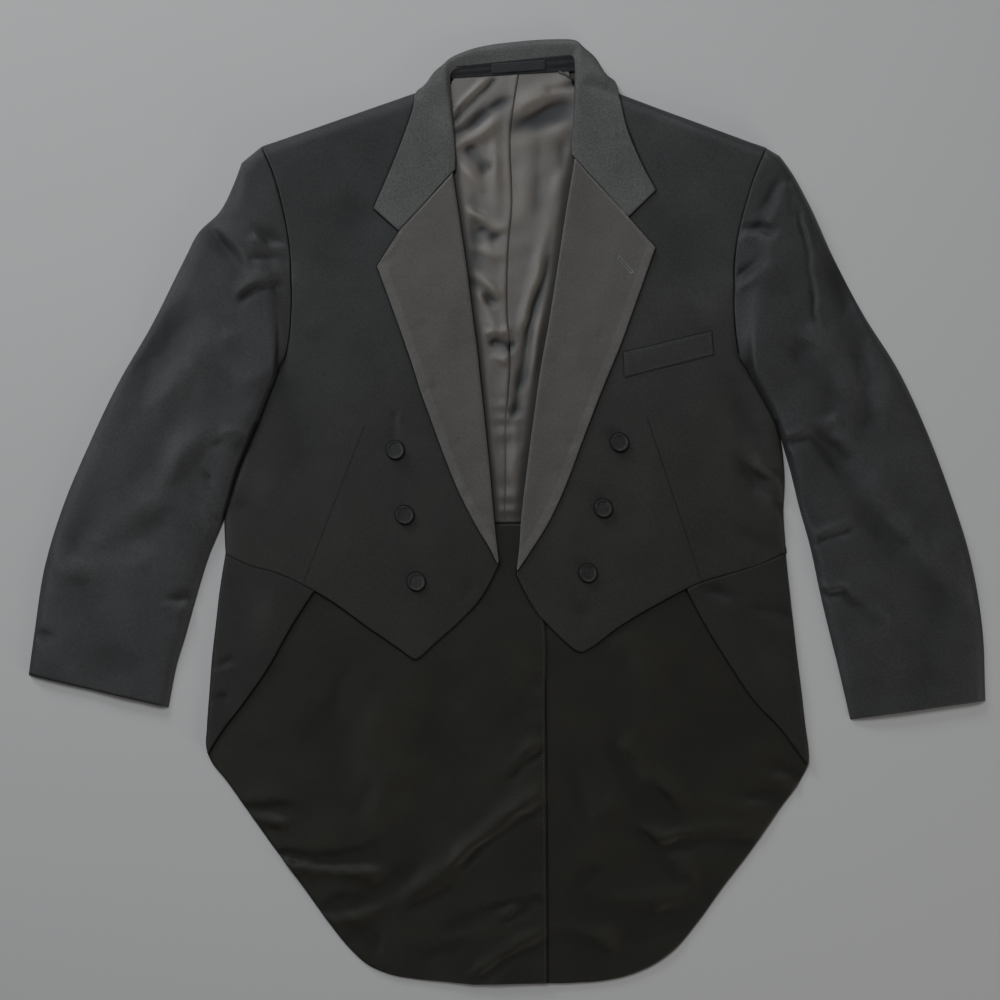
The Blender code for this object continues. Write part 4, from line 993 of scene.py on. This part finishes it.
SLEEVE_FOLDS = {
    "right": [Fold(*row) for row in (
        (-322, 304, -274, 240, 9, -2.2, 5), (-310, 316, -262, 250, 10, 1.8, 5),
        (-282, 222, -234, 240, 6, -2.2, 4), (-284, 232, -232, 252, 7, 2.0, 4),
        (-270, 266, -222, 270, 6, -1.6, 2), (-272, 300, -218, 284, 7, -1.6, -4),
        (-268, 288, -220, 276, 7, 1.5, -3), (-398, 104, -322, 222, 22, -2.6, 6),
        (-372, 100, -296, 206, 20, 2.0, 4), (-444, -36, -350, 34, 16, 1.8, -6),
        (-360, 26, -306, 98, 13, 2.4, 6), (-470, -30, -352, -8, 19, -1.6, -6),
        (-470, -60, -362, -40, 16, 1.6, -4), (-498, -131, -470, -126, 6, -1.3),
        (-360, -87, -322, -93, 7, -1.6, 2), (-362, -97, -326, -104, 7, 1.3, 2),
        (-320, 42, -290, 12, 4, -1.3), (-312, 36, -286, 4, 4, 1.2), (-330, 20, -300, -14, 5, -1.2),
        (-322, 12, -298, -24, 5, 1.1), (-300, 88, -262, 80, 6, 1.4), (-306, 74, -268, 64, 6, -1.3),
        (-430, -110, -400, -180, 18, -0.9), (-300, 190, -262, 128, 14, 1.4),
    )],
    "left": [Fold(*row) for row in (
        (242, 300, 284, 293, 5, -2.6, 3), (240, 290, 286, 282, 6, 2.0, 3),
        (238, 246, 270, 276, 6, -1.8, -2), (238, 236, 276, 264, 7, 1.8, -2),
        (262, 308, 296, 356, 7, -1.6, 3), (272, 306, 304, 350, 7, 1.4, 3),
        (295, 356, 299, 306, 5, -1.4), (303, 318, 323, 196, 3.2, -1.6, 3),
        (308, 318, 329, 196, 4, 1.5, 3), (332, 280, 370, 168, 13, -2.4, 5),
        (350, 282, 388, 176, 13, 2.2, 5), (366, 180, 384, 80, 13, -1.8, 3),
        (380, 184, 400, 84, 13, 1.6, 3), (296, 184, 350, 112, 14, -1.9, 4),
        (308, 196, 364, 124, 13, 1.7, 4), (320, 92, 380, -6, 14, -2.6, 5),
        (334, 98, 396, 4, 14, 2.4, 5), (372, 4, 470, -116, 14, -2.4, 5),
        (388, 12, 480, -106, 14, 2.2, 5), (322, -31, 364, -18, 4.5, -1.5, 2),
        (320, -22, 364, -9, 5, 1.4, 2), (290, 70, 352, 86, 6, -1.5, 4), (290, 80, 352, 96, 6, 1.3, 4),
        (324, -87, 360, -88, 4.5, -1.9, 2), (322, -78, 364, -80, 5, 1.5, 2),
        (352, -86, 390, -122, 4.5, -1.5, 3), (360, -80, 398, -116, 5, 1.3, 3),
        (300, 30, 330, -20, 9, -1.2), (430, -120, 440, -190, 18, -0.8),
    )],
}
SLEEVE_FOLD_RISE = 1.6
HEAD_ROWS = 14
# The sleeves' wool is given a lighter colour than the fronts': painted light, as the sleeves catch more
# of the light from above.
wool_sleeve = cloth("wool_sleeve", (0.0293, 0.0287, 0.0280), rough=0.50)
wool_under = cloth("wool_under_sleeve", (0.0180, 0.0178, 0.0176))

for side, sign in SIDES.items():
    head = np.array([(row.out_x + sign * 0.2, row.out_y) for row in FRONT[side][:ARMHOLE_ROWS]], float)
    lengths = np.concatenate([[0], np.cumsum(np.hypot(*np.diff(head, axis=0).T))])
    share = shares(210, 2.8)
    head = curve_at(head, lengths / lengths[-1], share)
    table = refined(SLEEVE[side], 3.0)
    out, inn, bow, height = table[:, :2], table[:, 2:4], table[:, 4:5], table[:, 5:6]
    x, y = spread(out, inn, share)
    width = np.hypot(out[:, 0] - inn[:, 0], out[:, 1] - inn[:, 1])[:, None]
    bowed = bow * 4 * share * (1 - share)
    x = x - sign * np.abs(out[:, 1:] - inn[:, 1:]) / width * bowed
    y = y + sign * (out[:, :1] - inn[:, :1]) / width * bowed * 0.5
    grow = np.linspace(0, 1, HEAD_ROWS + 1)[:-1, None]
    x = np.concatenate([lerp(head[:, 0], x[0], grow), x])
    y = np.concatenate([lerp(head[:, 1], y[0], grow), y])
    height = np.concatenate([np.full((HEAD_ROWS, 1), height[0, 0]), height])
    width = np.concatenate([np.full((HEAD_ROWS, 1), width[0, 0]), width])
    from_edge = np.minimum(share, 1 - share) * width
    section = 1.5 + (height - 1.5) * rounded(from_edge, 26) ** 0.9
    fold = curve_at([row.fold for row in FRONT[side][:ARMHOLE_ROWS]], lengths / lengths[-1], share)
    from_head = np.hypot(x - head[:, 0], y - head[:, 1])
    at_head = lerp(crown(head[:, 0], head[:, 1] - 0.5) - 0.7, 1.6, fold)
    blend = smooth(from_head / lerp(60, 22, smooth(share * 1.2 - 0.2)))
    z = lerp(at_head + 1.5 * rounded(from_head, 7) * (1 - fold), section, blend)
    loose = rounded(from_edge, 16)
    broad = [row for row in SLEEVE_FOLDS[side] if row.width > 10]
    sharp = SLEEVE_FOLD_RISE * folds(x, y, SLEEVE_FOLDS[side])
    ripple = sharp + 0.7 * folds(x, y, broad) + drape(x, y, 41 if side == "right" else 43, 95, 0.9)
    z = z + ripple * loose * smooth(from_head / 8)
    z = lerp(1.5, z, rounded(from_edge + 0.1, 9))
    from_cuff = np.hypot(x - x[-1], y - y[-1])
    z = z - 0.5 * (1 - rounded(from_cuff, 2.0)) * (z > 4)
    sleeve = cloth_piece(f"top_sleeve_{side}_cloth", x, y, np.maximum(z, 1.45), 1.2, wool_sleeve)
    # Painted shade in the sleeve's folds, and painted shadow along the front's side below the armpit.
    paint_fold_shade(sleeve, sharp * loose, 3.6)
    low = FRONT[side][ARMHOLE_ROWS - 1].out_y - 6
    paint_contact_shadow(sleeve, [[place for place in front_outline(side) if place[1] < low]], x, y, 3.0)
    x, y = x[:, ::4], y[:, ::4]
    name = f"under_sleeve_{side}_cloth"
    under = cloth_piece(name, x, y, np.full_like(x, 0.1), 1.0, wool_under, faces_up=False)
    sew_in(under, [f"under_sleeve_{side}"])
    sew_in(sleeve, [f"top_sleeve_{side}"])


# Lapels: notched lapels faced with silk satin. Each rolls over from the front's inner edge and lies
# on the front, and its pressed outer edge is puckered by the hidden stitching and painted a little
# lighter, a painted highlight where the edge turns to the light.

LAPEL_FOLDS = {
    "right": [Fold(*row) for row in (
        (-132, 262, -112, 276, 5, -0.7), (-122, 300, -100, 282, 6, 0.6), (-106, 190, -84, 196, 5, -0.6),
        (-86, 128, -70, 134, 4, -0.6), (-52, 250, -74, 150, 12, 0.6), (-20, -2, -10, -22, 4, 0.7),
        (-60, 66, -46, 74, 4, -0.5),
    )],
    "left": [Fold(*row) for row in (
        (110, 190, 96, 186, 5, -0.5), (88, 112, 76, 114, 4, -0.6), (74, 72, 62, 76, 4, -0.6),
        (60, 44, 48, 48, 4, -0.5), (70, 260, 80, 140, 14, 0.6), (96, 300, 106, 250, 16, -0.4),
    )],
}


def satin_material(name, colour):
    """Silk satin: fine cross threads with a soft sheen.

    A painted highlight lightens a band along the pressed edge and thin lines along the gorge seams.
    """
    buttonhole_slot = [((117.5, 268.3), (130, 253.7))]
    material = cloth(
        name, colour, seams=buttonhole_slot, rough=0.5, sheen=0.25, wale=0.0006,
        fibre=0.8, mottle=0.5, bump=0.4,
    )
    tree = material.node_tree
    shader = tree.nodes["Principled BSDF"]
    cut = tree.nodes.new("ShaderNodeUVMap")
    cut.uv_map = "cut"
    parts = tree.nodes.new("ShaderNodeSeparateXYZ")
    tree.links.new(cut.outputs["UV"], parts.inputs["Vector"])
    # U is the distance in from the pressed edge, in centimetres.
    band = maths(tree, "SUBTRACT", 1.1, parts.outputs["X"])
    band = clamped(tree, maths(tree, "MULTIPLY", band, 4.0))
    woven = shader.inputs["Base Color"].links[0].from_socket
    # Painted highlight: the satin is lighter in a band along the pressed edge and along the gorge seams.
    shade = maths(tree, "MULTIPLY_ADD", band, 0.2, 0.97)
    gorge_highlight_lines = (((-57.5, 355), (-112.5, 294)), ((71.5, 370), (126.5, 309.3)))
    for start, end in gorge_highlight_lines:
        shade = maths(tree, "MULTIPLY_ADD", sewn_line(tree, start, end, 1.4), 0.5, shade)
    tree.links.new(vector_node(tree, "SCALE", woven, shade), shader.inputs["Base Color"])
    return material


satin = satin_material("lapel_satin", (0.0590, 0.0540, 0.0480))

for side, sign in SIDES.items():
    table = refined(LAPEL[side], 2.2, corners=(1,))
    roll, edge = table[:, :2], table[:, 2:4]
    width = np.hypot(roll[:, 0] - edge[:, 0], roll[:, 1] - edge[:, 1])[:, None]
    share = shares(70, 2.0, (0, 0.4, 1.0, 1.8, 2.8))
    x, y = spread(roll, edge, share)
    inward = share * width
    outward = (1 - share) * width
    lie = crown(x, y) + 0.6 * drape(x, y, 31 if side == "right" else 37, 130, 0.35) + 2.3
    lie = lie + 0.7 * smooth(1 - outward / 25)
    bulge = 1.4 * np.exp(-((inward / 16) ** 2)) * smooth(width / 30)
    row_y = y[:, -1:]
    pucker = 0.5 * np.exp(-(((outward - 5) / 5) ** 2)) * np.sin(row_y / 4.3 + 2.2 * np.sin(row_y / 19))
    pucker = pucker * (0.5 + 0.5 * np.sin(row_y / 47 + 1))
    z = lie + bulge + pucker + folds(x, y, LAPEL_FOLDS[side]) + drape(x, y, 53, 40, 0.16)
    z = z - 1.0 * (1 - rounded(outward, 1.4))
    z = lerp(z - 1.8, z, rounded(inward, 2.6))
    drop = [np.full((len(roll), 1), 3.1), z[:, :1] * 0.5 + 1.7]
    under_x = [x[:, :1] + sign * 1.5, x[:, :1] + sign * 0.3]
    x_all = np.concatenate([*under_x, x], axis=1)
    y_all = np.concatenate([y[:, :1], y[:, :1], y], axis=1)
    z_all = np.concatenate([*drop, z], axis=1)
    lapel = cloth_piece(f"lapel_{side}_satin", x_all, y_all, z_all, 1.2, satin)
    cut = lapel.data.uv_layers.new(name="cut")
    inside = np.concatenate([outward[:, :1], outward[:, :1], outward], axis=1).reshape(-1) / 10
    lengthwise = (y_all.reshape(-1) - HEM_Y) / 10
    corners = np.empty(len(lapel.data.loops), int)
    lapel.data.loops.foreach_get("vertex_index", corners)
    cut.data.foreach_set("uv", np.stack([inside[corners], lengthwise[corners]], 1).reshape(-1))
    sew_in(lapel, [f"lapel_{side}"])


# Collar: a rolled wool collar from one notch round the neck to the other. It stands on the neck
# seam, turns over at its crest, and its ends lie on the fronts above the lapels.

wool_collar = cloth("wool_collar", (0.066, 0.0645, 0.0615))
table = refined(COLLAR, 2.4, corners=(1, len(COLLAR) - 2))
in_x, in_y, end_x, end_y, in_z, top_x, top_y, top_z, over_x, over_y, over_z, end_z, on_front = table.T
on_front = np.clip(on_front, 0, 1)


def lying_on_front(x, y):
    """Height of the collar's end where it lies on a front's upper chest and shoulder."""
    return crown(x, np.minimum(y, shoulder_y(x) - 4)) + 2.2 + drape(x, y, 61, 50, 0.25)


over_z = over_z + on_front * lying_on_front(over_x, over_y)
end_z = end_z + on_front * lying_on_front(end_x, end_y)
knots = [np.stack([in_x, in_y, in_z], -1), np.stack([top_x, top_y, top_z], -1)]
knots += [np.stack([over_x, over_y, over_z], -1), np.stack([end_x, end_y, end_z], -1)]
near_end = np.array([1, 0.9, 0.8, 0.7, 0.6, 0.5, 0.4, 0.3, 0.2, 0.12, 0.06, 0.025, 0])
places = np.concatenate([np.linspace(0, 2, 28)[:-1], 3 - near_end])
flat = np.stack(knots).reshape(4, -1)
made = curve_at(flat, np.arange(4), places).reshape(len(places), len(table), 3)
x, y, z = (made[..., k].T for k in range(3))
on_it = smooth((places - 1.2) / 0.55) * smooth(on_front[:, None] * 1.4 - 0.4)
z = lerp(z, lying_on_front(x, y), on_it)
from_end = np.hypot(x - x[:, -1:], y - y[:, -1:])
from_notch = np.minimum(np.hypot(x - x[:1], y - y[:1]), np.hypot(x - x[-1:], y - y[-1:]))
z = z - on_front[:, None] * 0.9 * (1 - rounded(from_end, 1.4)) - 0.5 * (1 - rounded(from_notch, 1.6))
collar = cloth_piece("collar_cloth", x, y, np.maximum(z, 0.1), 1.3, wool_collar)
sew_in(collar, ["upper_collar"])


# Collar stand: the inside of the neck, a band of wool between the lining and the collar's crest, with
# two rows of quilting along it.

wool_stand = cloth("wool_stand", (0.0155, 0.0155, 0.0160), rough=0.86, sheen=0.06)
share = shares(134, 2.4)
down = np.linspace(0, 1, 14)[:, None]
x = lerp(-60, 73, share) + 0 * down
low = 460.2 + NECK_SLOPE * (x - COLLAR_MIDDLE_X)
crest = 475.6 + 0.1 * (x - COLLAR_MIDDLE_X)
y = lerp(low, crest, down)
z = 5.4 + 2.4 * down + 0.4 * np.sin(down * 15) + 1.6 * (np.abs(x - COLLAR_MIDDLE_X) / 68) ** 4 * down
stand = cloth_piece("collar_stand_cloth", x, y, z, 1.0, wool_stand)
sew_in(stand, ["collar_stand"])


# Neck label: a blank woven satin label, sewn flat to the stand along its edges.

label_cloth = cloth(
    "label_weave", (0.016, 0.016, 0.018), rough=0.55, sheen=0.1, wale=0.0006,
    fibre=0.2, mottle=0.1, thread=0.2, bump=0.4,
)
share = shares(56, 2.2, (0, 0.4, 1.0))
down = shares(11, 2.0, (0, 0.4, 1.0))[:, None]
x = lerp(-16, 40, share) + 0 * down
y = lerp(463.6, 473.6, down) + 0.075 * (x - COLLAR_MIDDLE_X)
round_it = np.minimum(np.minimum(share, 1 - share) * 56, np.minimum(down, 1 - down) * 10)
z = 6.5 + 1.9 * down + 0.5 * rounded(round_it, 0.9) + 0.15 * np.sin(x / 6)
label = cloth_piece("neck_label_cloth", x, y, z, 0.35, label_cloth)
sew_in(label, ["neck_label"])


# Hanger loop: a narrow folded strip of lining, sewn to the neck seam at both ends.

loop_cloth = cloth(
    "loop_satin", (0.030, 0.028, 0.026), rough=0.5, wale=0.0005,
    fibre=0.15, mottle=0.1, thread=0.06, bump=0.2,
)
share = np.linspace(0, 1, 30)
down = np.linspace(-1, 1, 9)[:, None]
x = lerp(54, 71, share) + 0 * down
y = 463.5 - 10 * share**1.4 + 1.5 * down + 0 * x
z = lining_top(x, y) + 0.8 + 0.9 * np.sin(math.pi * share) + 0.5 * np.sqrt(1 - 0.8 * down**2)
loop = cloth_piece("hanger_loop_cloth", x, y, z, 0.5, loop_cloth)
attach(loop, "root")
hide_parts("hanger_loop")


# Buttons: domed moulds covered in the coat's wool, sewn on in two rows of three. The cover is drawn
# over the mould's raised rim and gathered behind it.

ButtonRing = namedtuple("ButtonRing", "radius height")
BUTTON_RINGS = [ButtonRing(*row) for row in (
    (0, 4.1), (3.0, 4.1), (6.0, 4.1), (7.2, 4.2), (7.9, 4.7), (8.6, 4.8), (9.2, 4.3), (9.5, 3.2),
    (9.3, 1.8), (8.4, 0.7), (6.5, 0.2), (0, 0.2),
)]
ROUND = 48
button_cloth = cloth(
    "button_cover", (0.0082, 0.0076, 0.0060), rough=0.40, wale=0.0007, fibre=0.6, mottle=0.3, gloss=0.5
)

for side, sign in SIDES.items():
    for number, spot in enumerate(BUTTONS[side], 1):
        rim = np.linspace(0, 2 * math.pi, 9)
        seat = float(crown(spot.x + 9 * np.cos(rim), spot.y + 9 * np.sin(rim)).max())
        tilt = 0.04 * math.sin(3.1 * number + sign)
        bm = bmesh.new()
        rings = []
        for ring in BUTTON_RINGS:
            if ring.radius == 0:
                rings.append([bm.verts.new((spot.x * MM, spot.y * MM, (seat + ring.height) * MM))])
                continue
            around = []
            for k in range(ROUND):
                turn = 2 * math.pi * k / ROUND
                dx, dy = ring.radius * math.cos(turn), ring.radius * math.sin(turn)
                height = seat + ring.height + tilt * dx * (ring.height > 1) + 0.05 * math.sin(5 * turn)
                around.append(bm.verts.new(((spot.x + dx) * MM, (spot.y + dy) * MM, height * MM)))
            rings.append(around)
        for upper, lower in zip(rings, rings[1:]):
            for k in range(ROUND):
                after = (k + 1) % ROUND
                if len(upper) == 1:
                    bm.faces.new([upper[0], lower[k], lower[after]])
                elif len(lower) == 1:
                    bm.faces.new([upper[after], upper[k], lower[0]])
                else:
                    bm.faces.new([upper[k], lower[k], lower[after], upper[after]])
        mesh = bpy.data.meshes.new(f"covered_button_{side}_{number}")
        bm.to_mesh(mesh)
        bm.free()
        mesh.shade_smooth()
        mesh.materials.append(button_cloth)
        button = bpy.data.objects.new(mesh.name, mesh)
        bpy.context.scene.collection.objects.link(button)
        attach(button, "root")
        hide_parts(f"button_{side}_{number}")


# Stitches: silk thread sewn by hand or machine. One row runs down the vent's edge, one round the
# breast welt, and a close row makes the lapel's buttonhole.


def stitch_tree():
    """Lays a small thread capsule at even steps along each line, and makes them one mesh."""
    tree = bpy.data.node_groups.new("stitch_row", "GeometryNodeTree")
    face = tree.interface
    face.new_socket("Geometry", in_out="INPUT", socket_type="NodeSocketGeometry")
    for label in ("Pitch", "Length", "Radius", "Across"):
        face.new_socket(label, in_out="INPUT", socket_type="NodeSocketFloat")
    face.new_socket("Thread", in_out="INPUT", socket_type="NodeSocketMaterial")
    face.new_socket("Geometry", in_out="OUTPUT", socket_type="NodeSocketGeometry")
    given = tree.nodes.new("NodeGroupInput").outputs

    def step(kind, output, sockets, **settings):
        """Adds a node, sets or links its inputs, and returns one of its outputs."""
        node = tree.nodes.new(kind)
        for label, value in settings.items():
            setattr(node, label, value)
        for label, value in sockets.items():
            if isinstance(value, bpy.types.NodeSocket):
                tree.links.new(value, node.inputs[label])
            else:
                node.inputs[label].default_value = value
        return node.outputs[output]

    line = step("GeometryNodeMeshToCurve", "Curve", {"Mesh": given["Geometry"]})
    spaced = {"Curve": line, "Length": given["Pitch"]}
    even = step("GeometryNodeResampleCurve", "Curve", spaced, mode="LENGTH")
    tangent = step("GeometryNodeInputTangent", "Tangent", {})
    turned = step("FunctionNodeAlignEulerToVector", "Rotation", {"Vector": tangent}, axis="X")
    spin = step("ShaderNodeCombineXYZ", "Vector", {"Z": given["Across"]})
    both = {"Rotation": turned, "Rotate By": spin}
    spun = step("FunctionNodeRotateEuler", "Rotation", both, space="OBJECT")
    ball = step("GeometryNodeMeshUVSphere", "Mesh", {"Segments": 8, "Rings": 6, "Radius": 1.0})
    half = maths(tree, "MULTIPLY", given["Length"], 0.5)
    sizes = {"X": half, "Y": given["Radius"], "Z": given["Radius"]}
    stretch = step("ShaderNodeCombineXYZ", "Vector", sizes)
    laid = {"Points": even, "Instance": ball, "Rotation": spun, "Scale": stretch}
    stitches = step("GeometryNodeInstanceOnPoints", "Instances", laid)
    real = step("GeometryNodeRealizeInstances", "Geometry", {"Geometry": stitches})
    dyed = {"Geometry": real, "Material": given["Thread"]}
    paint = step("GeometryNodeSetMaterial", "Geometry", dyed)
    tree.links.new(paint, tree.nodes.new("NodeGroupOutput").inputs["Geometry"])
    return tree


STITCH_ROW = stitch_tree()
SILK = dict(rough=0.5, sheen=0.2, wale=0.0005, fibre=0.3, mottle=0.1, thread=0.1, bump=0.3)
silk_thread = cloth("silk_thread", (0.05, 0.05, 0.052), **SILK)
hole_thread = cloth("buttonhole_thread", (0.17, 0.165, 0.16), **SILK)


def sew_row(name, points, pitch, length, radius, across, thread=silk_thread):
    """Sews one row of stitches along the points, and leaves them as a plain mesh."""
    mesh = bpy.data.meshes.new(name)
    edges = [(k, k + 1) for k in range(len(points) - 1)]
    mesh.from_pydata([(a * MM, b * MM, c * MM) for a, b, c in points], edges, [])
    row = bpy.data.objects.new(name, mesh)
    bpy.context.scene.collection.objects.link(row)
    sewing = row.modifiers.new("stitches", "NODES")
    sewing.node_group = STITCH_ROW
    values = {"Pitch": pitch * MM, "Length": length * MM, "Radius": radius * MM, "Across": across}
    values["Thread"] = thread
    for item in STITCH_ROW.interface.items_tree:
        if item.in_out == "INPUT" and item.name in values:
            sewing[item.identifier] = values[item.name]
    graph = bpy.context.evaluated_depsgraph_get()
    made = bpy.data.meshes.new_from_object(row.evaluated_get(graph))
    row.modifiers.remove(sewing)
    row.data = made
    made.shade_smooth()
    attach(row, "root")


vent_y = np.linspace(-104, -492, 150)
vent_x = along(VENT_EDGE, "y", "x", vent_y) - 2.6
vent_z = tails_top(vent_x, vent_y) + 3.0
sew_row("vent_stitches", np.stack([vent_x, vent_y, vent_z], 1), 3.1, 1.5, 0.28, 0.0)

corners = np.array([(125, 166.6), (212, 188.7), (214, 169.2), (126, 146.2), (125, 166.6)])
sides = zip(corners, corners[1:])
line = np.array([lerp(a, b, t) for a, b in sides for t in np.linspace(0, 1, 24)])
height = front_top("left", line[:, 0], line[:, 1]) + 0.95 + 0.25 * np.sin(line[:, 0] / 9.0)
sew_row("welt_stitches", np.column_stack([line, height]), 2.2, 1.5, 0.22, 0.0)

hole = np.array([(116.5, 269.5), (131, 252.5)], float)
run = lerp(hole[0], hole[1], np.linspace(0, 1, 30)[:, None])
side_step = np.array([0.76, 0.65]) * 1.1
ring = np.concatenate([run + side_step, (run - side_step)[::-1]])
hole_ring = np.column_stack([ring, crown(ring[:, 0], ring[:, 1]) + 2.5])
sew_row("buttonhole_stitches", hole_ring, 0.75, 1.5, 0.28, math.pi / 2, hole_thread)


# Floor, light and camera: the coat lies on a plain pale floor under soft light from above, and is
# seen from straight overhead.

floor_paint = bpy.data.materials.new("floor_paint")
floor_paint.use_nodes = True
floor_shader = floor_paint.node_tree.nodes["Principled BSDF"]
floor_shader.inputs["Base Color"].default_value = (0.392, 0.384, 0.374, 1)
floor_shader.inputs["Roughness"].default_value = 0.95
floor_mesh = bpy.data.meshes.new("floor")
reach, just_below = 4.0, -0.0002
around = ((-1, -1), (1, -1), (1, 1), (-1, 1))
floor_mesh.from_pydata([(a * reach, b * reach, just_below) for a, b in around], [], [(0, 1, 2, 3)])
floor_mesh.materials.append(floor_paint)
floor = bpy.data.objects.new("floor", floor_mesh)
bpy.context.scene.collection.objects.link(floor)

Lamp = namedtuple("Lamp", "name x y z size power colour")
LAMPS = [
    Lamp("window", -0.5, 1.05, 2.2, 1.1, 34, (0.91, 0.955, 1.0)),
    Lamp("daylight", -1.5, 2.3, 1.15, 1.0, 48, (0.91, 0.955, 1.0)),
    Lamp("bounce", 2.2, -2.2, 0.9, 1.4, 40, (1.0, 0.97, 0.92)),
]
for lamp in LAMPS:
    light = bpy.data.lights.new(lamp.name, "AREA")
    light.shape = "DISK"
    light.size = lamp.size
    light.energy = lamp.power
    light.color = lamp.colour
    holder = bpy.data.objects.new(lamp.name, light)
    holder.location = (lamp.x, lamp.y, lamp.z)
    away = holder.location.copy()
    holder.rotation_euler = away.to_track_quat("Z", "Y").to_euler()
    bpy.context.scene.collection.objects.link(holder)

world = bpy.data.worlds.new("room")
bpy.context.scene.world = world
world.use_nodes = True
world.node_tree.nodes["Background"].inputs["Color"].default_value = (0.9, 0.95, 1.0, 1)
world.node_tree.nodes["Background"].inputs["Strength"].default_value = 0.12

view = bpy.data.cameras.new("overhead")
FRAME_WIDTH, CAMERA_HEIGHT, SENSOR_WIDTH = 1.05, 2.2, 36
FRAME_MIDDLE = (-0.0073, 0.0147)
view.sensor_width = SENSOR_WIDTH
view.lens = SENSOR_WIDTH * (CAMERA_HEIGHT - 0.005) / FRAME_WIDTH
camera = bpy.data.objects.new("overhead", view)
camera.location = (*FRAME_MIDDLE, CAMERA_HEIGHT)
bpy.context.scene.collection.objects.link(camera)
bpy.context.scene.camera = camera
